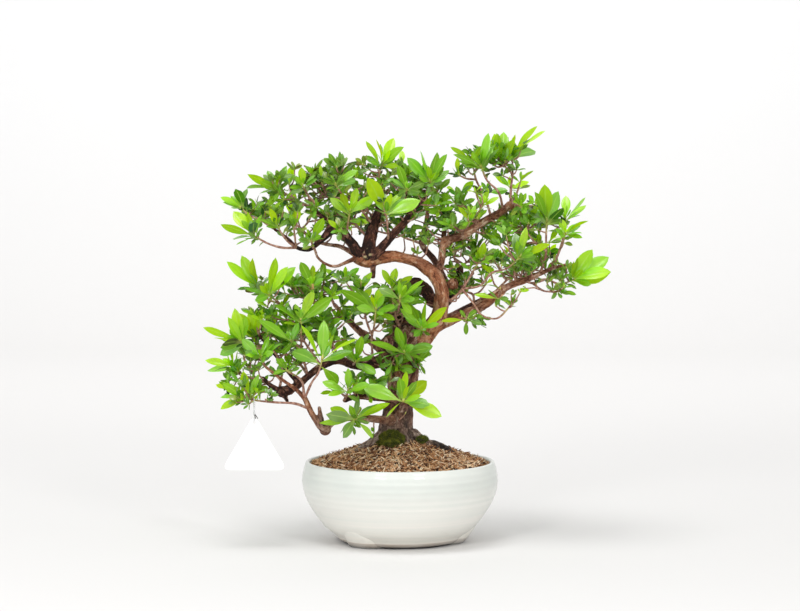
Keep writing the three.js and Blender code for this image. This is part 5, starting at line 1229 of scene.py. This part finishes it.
# Half widths of the loop at its bends and between them, and turns of the twist; ends are cut below the twist.
WIRE_DIAMETER, WIRE_BEND, WIRE_GAP, WIRE_TURNS, WIRE_SIDES = 0.9, 2.3, 0.6, 3, 10
END_LENGTH, END_HEIGHT, ENDS_ASIDE = 4.5, 7, (0.6, 1.6)


def wire_loop(low, high):
    """The closed route of the wire in its box, in mm: up one side, over, and down the other. Its half width
    is the bend's at both ends and the gap's between them, where both sides turn about each other."""
    middle, length = (low + high) / 2, high[2] - low[2] - WIRE_DIAMETER - 2 * WIRE_BEND
    t = np.linspace(0, 1, 121)
    half = WIRE_GAP + (WIRE_BEND - WIRE_GAP) * np.clip(np.abs(2 * t - 1) ** 6, 0, 1)
    turn = 2 * math.pi * WIRE_TURNS * (t * t * (3 - 2 * t))
    side = np.stack([half * np.sin(turn), half * np.cos(turn), length * (t - 0.5)], -1)
    arc = np.linspace(0, math.pi, 13)[1:-1]
    over = np.stack([0 * arc, WIRE_BEND * np.cos(arc), length / 2 + WIRE_BEND * np.sin(arc)], -1)
    return middle + np.vstack([side, over, side[::-1] * [-1, -1, 1], -over])


def closed_tube(path, radius, sides):
    """Rings of points round a closed path, each joined to the next and the last to the first."""
    along = unit(np.roll(path, -1, axis=0) - np.roll(path, 1, axis=0))
    across = unit(np.cross(along, [1, 0.01, 0]))
    rings = path[:, None] + radius * circles(across, np.cross(along, across), sides)
    return rings.reshape(-1, 3), grid_faces(len(path) + 1, sides) % (len(path) * sides)


def cut_end(start, aside):
    """One end of the wire, which leaves the twist at start, goes aside and turns down."""
    bend, tip = start + [aside, -1, -1.5], start + [aside * 2.2, -1.2, -END_LENGTH]
    path = smooth_path([start, bend, tip], 0.4)
    return tube(path, np.full(len(path), WIRE_DIAMETER / 2), 8)[:2]


low, high = (np.array(corner) * 1000 - to_metres([(0, 0, 0)])[0] * 1000 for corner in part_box("tag_wire"))
route = wire_loop(low, high)
twist_end = np.array([*(low + high)[:2] / 2, route[:, 2].min() + END_HEIGHT])
loop = closed_tube(route, WIRE_DIAMETER / 2, WIRE_SIDES)
points, faces = join([loop, *(cut_end(twist_end, aside) for aside in ENDS_ASIDE)])
# 1 on the cut ends, which the wire's material paints dark as shade.
ends_in_painted_shade = (np.arange(len(points)) >= len(loop[0])).astype(float)
new_piece("tag_wire_loop", points, faces, [tinned], "wire", ["tag_wire"], floats={"tone": ends_in_painted_shade})


# ---- Studio
# A pale paper sweep that runs back from under the bowl and curves up into a wall, in soft light from above
# and from two boxes in front; the camera stands in front at the height of the crown.

# Half width, front edge, wall, radius of the bend and top of the sweep, in metres.
SWEEP_HALF, SWEEP_FRONT, SWEEP_BACK, SWEEP_BEND, SWEEP_TOP = 6, -4.0, 3.5, 1.1, 5.0
LENS, SENSOR, AIM_HEIGHT, WORLD_LIGHT = 112.84, 36, 236.5, 0.68

paper, tree = new_material("studio_paper")
place = add(tree, "TexCoord")
axes = add(tree, "SeparateXYZ", Vector=(place, "Object"))
rise = add(tree, "MapRange", Value=(axes, "Z"), From_Max=1.6)
# Painted light: the paper is painted lighter up the wall than on the floor.
shade = add(tree, "ValToRGB", Fac=rise, stops=[(0.0, "#e1e0df"), (0.35, "#e6e6e6"), (1.0, "#ebebeb")])
shader = add(tree, "BsdfPrincipled", Base_Color=shade, Roughness=0.9, Specular_IOR_Level=0.0)
add(tree, "OutputMaterial", Surface=shader)
bend = np.linspace(0, math.pi / 2, 17)
curve = zip(SWEEP_BACK - SWEEP_BEND + SWEEP_BEND * np.sin(bend), SWEEP_BEND - SWEEP_BEND * np.cos(bend))
sweep = [(SWEEP_FRONT, 0.0), *curve, (SWEEP_BACK, SWEEP_TOP)]
points = [(x, y, z) for y, z in sweep for x in (-SWEEP_HALF, SWEEP_HALF)]
mesh = bpy.data.meshes.new("paper_sweep")
mesh.from_pydata(points, [], grid_faces(len(sweep), 2, False).tolist())
mesh.polygons.foreach_set("use_smooth", np.ones(len(mesh.polygons), bool))
mesh.materials.append(paper)
floor = new_object("paper_sweep", mesh)


def looking(place, aim):
    """The matrix of a lamp or a camera at place that looks at aim, in metres."""
    back = unit(np.array(place) - aim)
    right = unit(np.cross([0, 0, 1], back))
    rows = np.stack([right, np.cross(back, right), back, place], -1)
    return Matrix([*rows.tolist(), [0, 0, 0, 1]])


def softbox(name, place, aim, width, height, power):
    """A rectangular area light at place, facing aim, in metres and watts."""
    lamp = bpy.data.lights.new(name, "AREA")
    lamp.shape, lamp.size, lamp.size_y, lamp.energy = "RECTANGLE", width, height, power
    new_object(name, lamp).matrix_world = looking(place, aim)


softbox("key_left", (-0.85, -1.95, 1.05), (0, 0, 0.2), 0.4, 0.4, 12)
softbox("key_right", (0.85, -1.95, 1.05), (0, 0, 0.2), 0.4, 0.4, 10)
softbox("top", (-0.3, -0.5, 2.2), (0, 0, 0.2), 1.0, 1.0, 20)
softbox("wall", (0.0, 1.2, 2.6), (0, 3.5, 1.3), 4.0, 0.8, 52)

world = bpy.data.worlds.new("studio")
bpy.context.scene.world = world
world.use_nodes = True
sky = world.node_tree.nodes["Background"]
sky.inputs["Color"].default_value = (1.0, 1.0, 1.0, 1)
sky.inputs["Strength"].default_value = WORLD_LIGHT

lens = bpy.data.cameras.new("camera")
lens.lens, lens.sensor_width = LENS, SENSOR
camera = new_object("camera", lens)
camera.matrix_world = looking(*to_metres([(0, -VIEWER_DISTANCE, VIEWER_HEIGHT), (0, 0, AIM_HEIGHT)]))
bpy.context.scene.camera = camera
bpy.context.scene.view_settings.view_transform = "Standard"
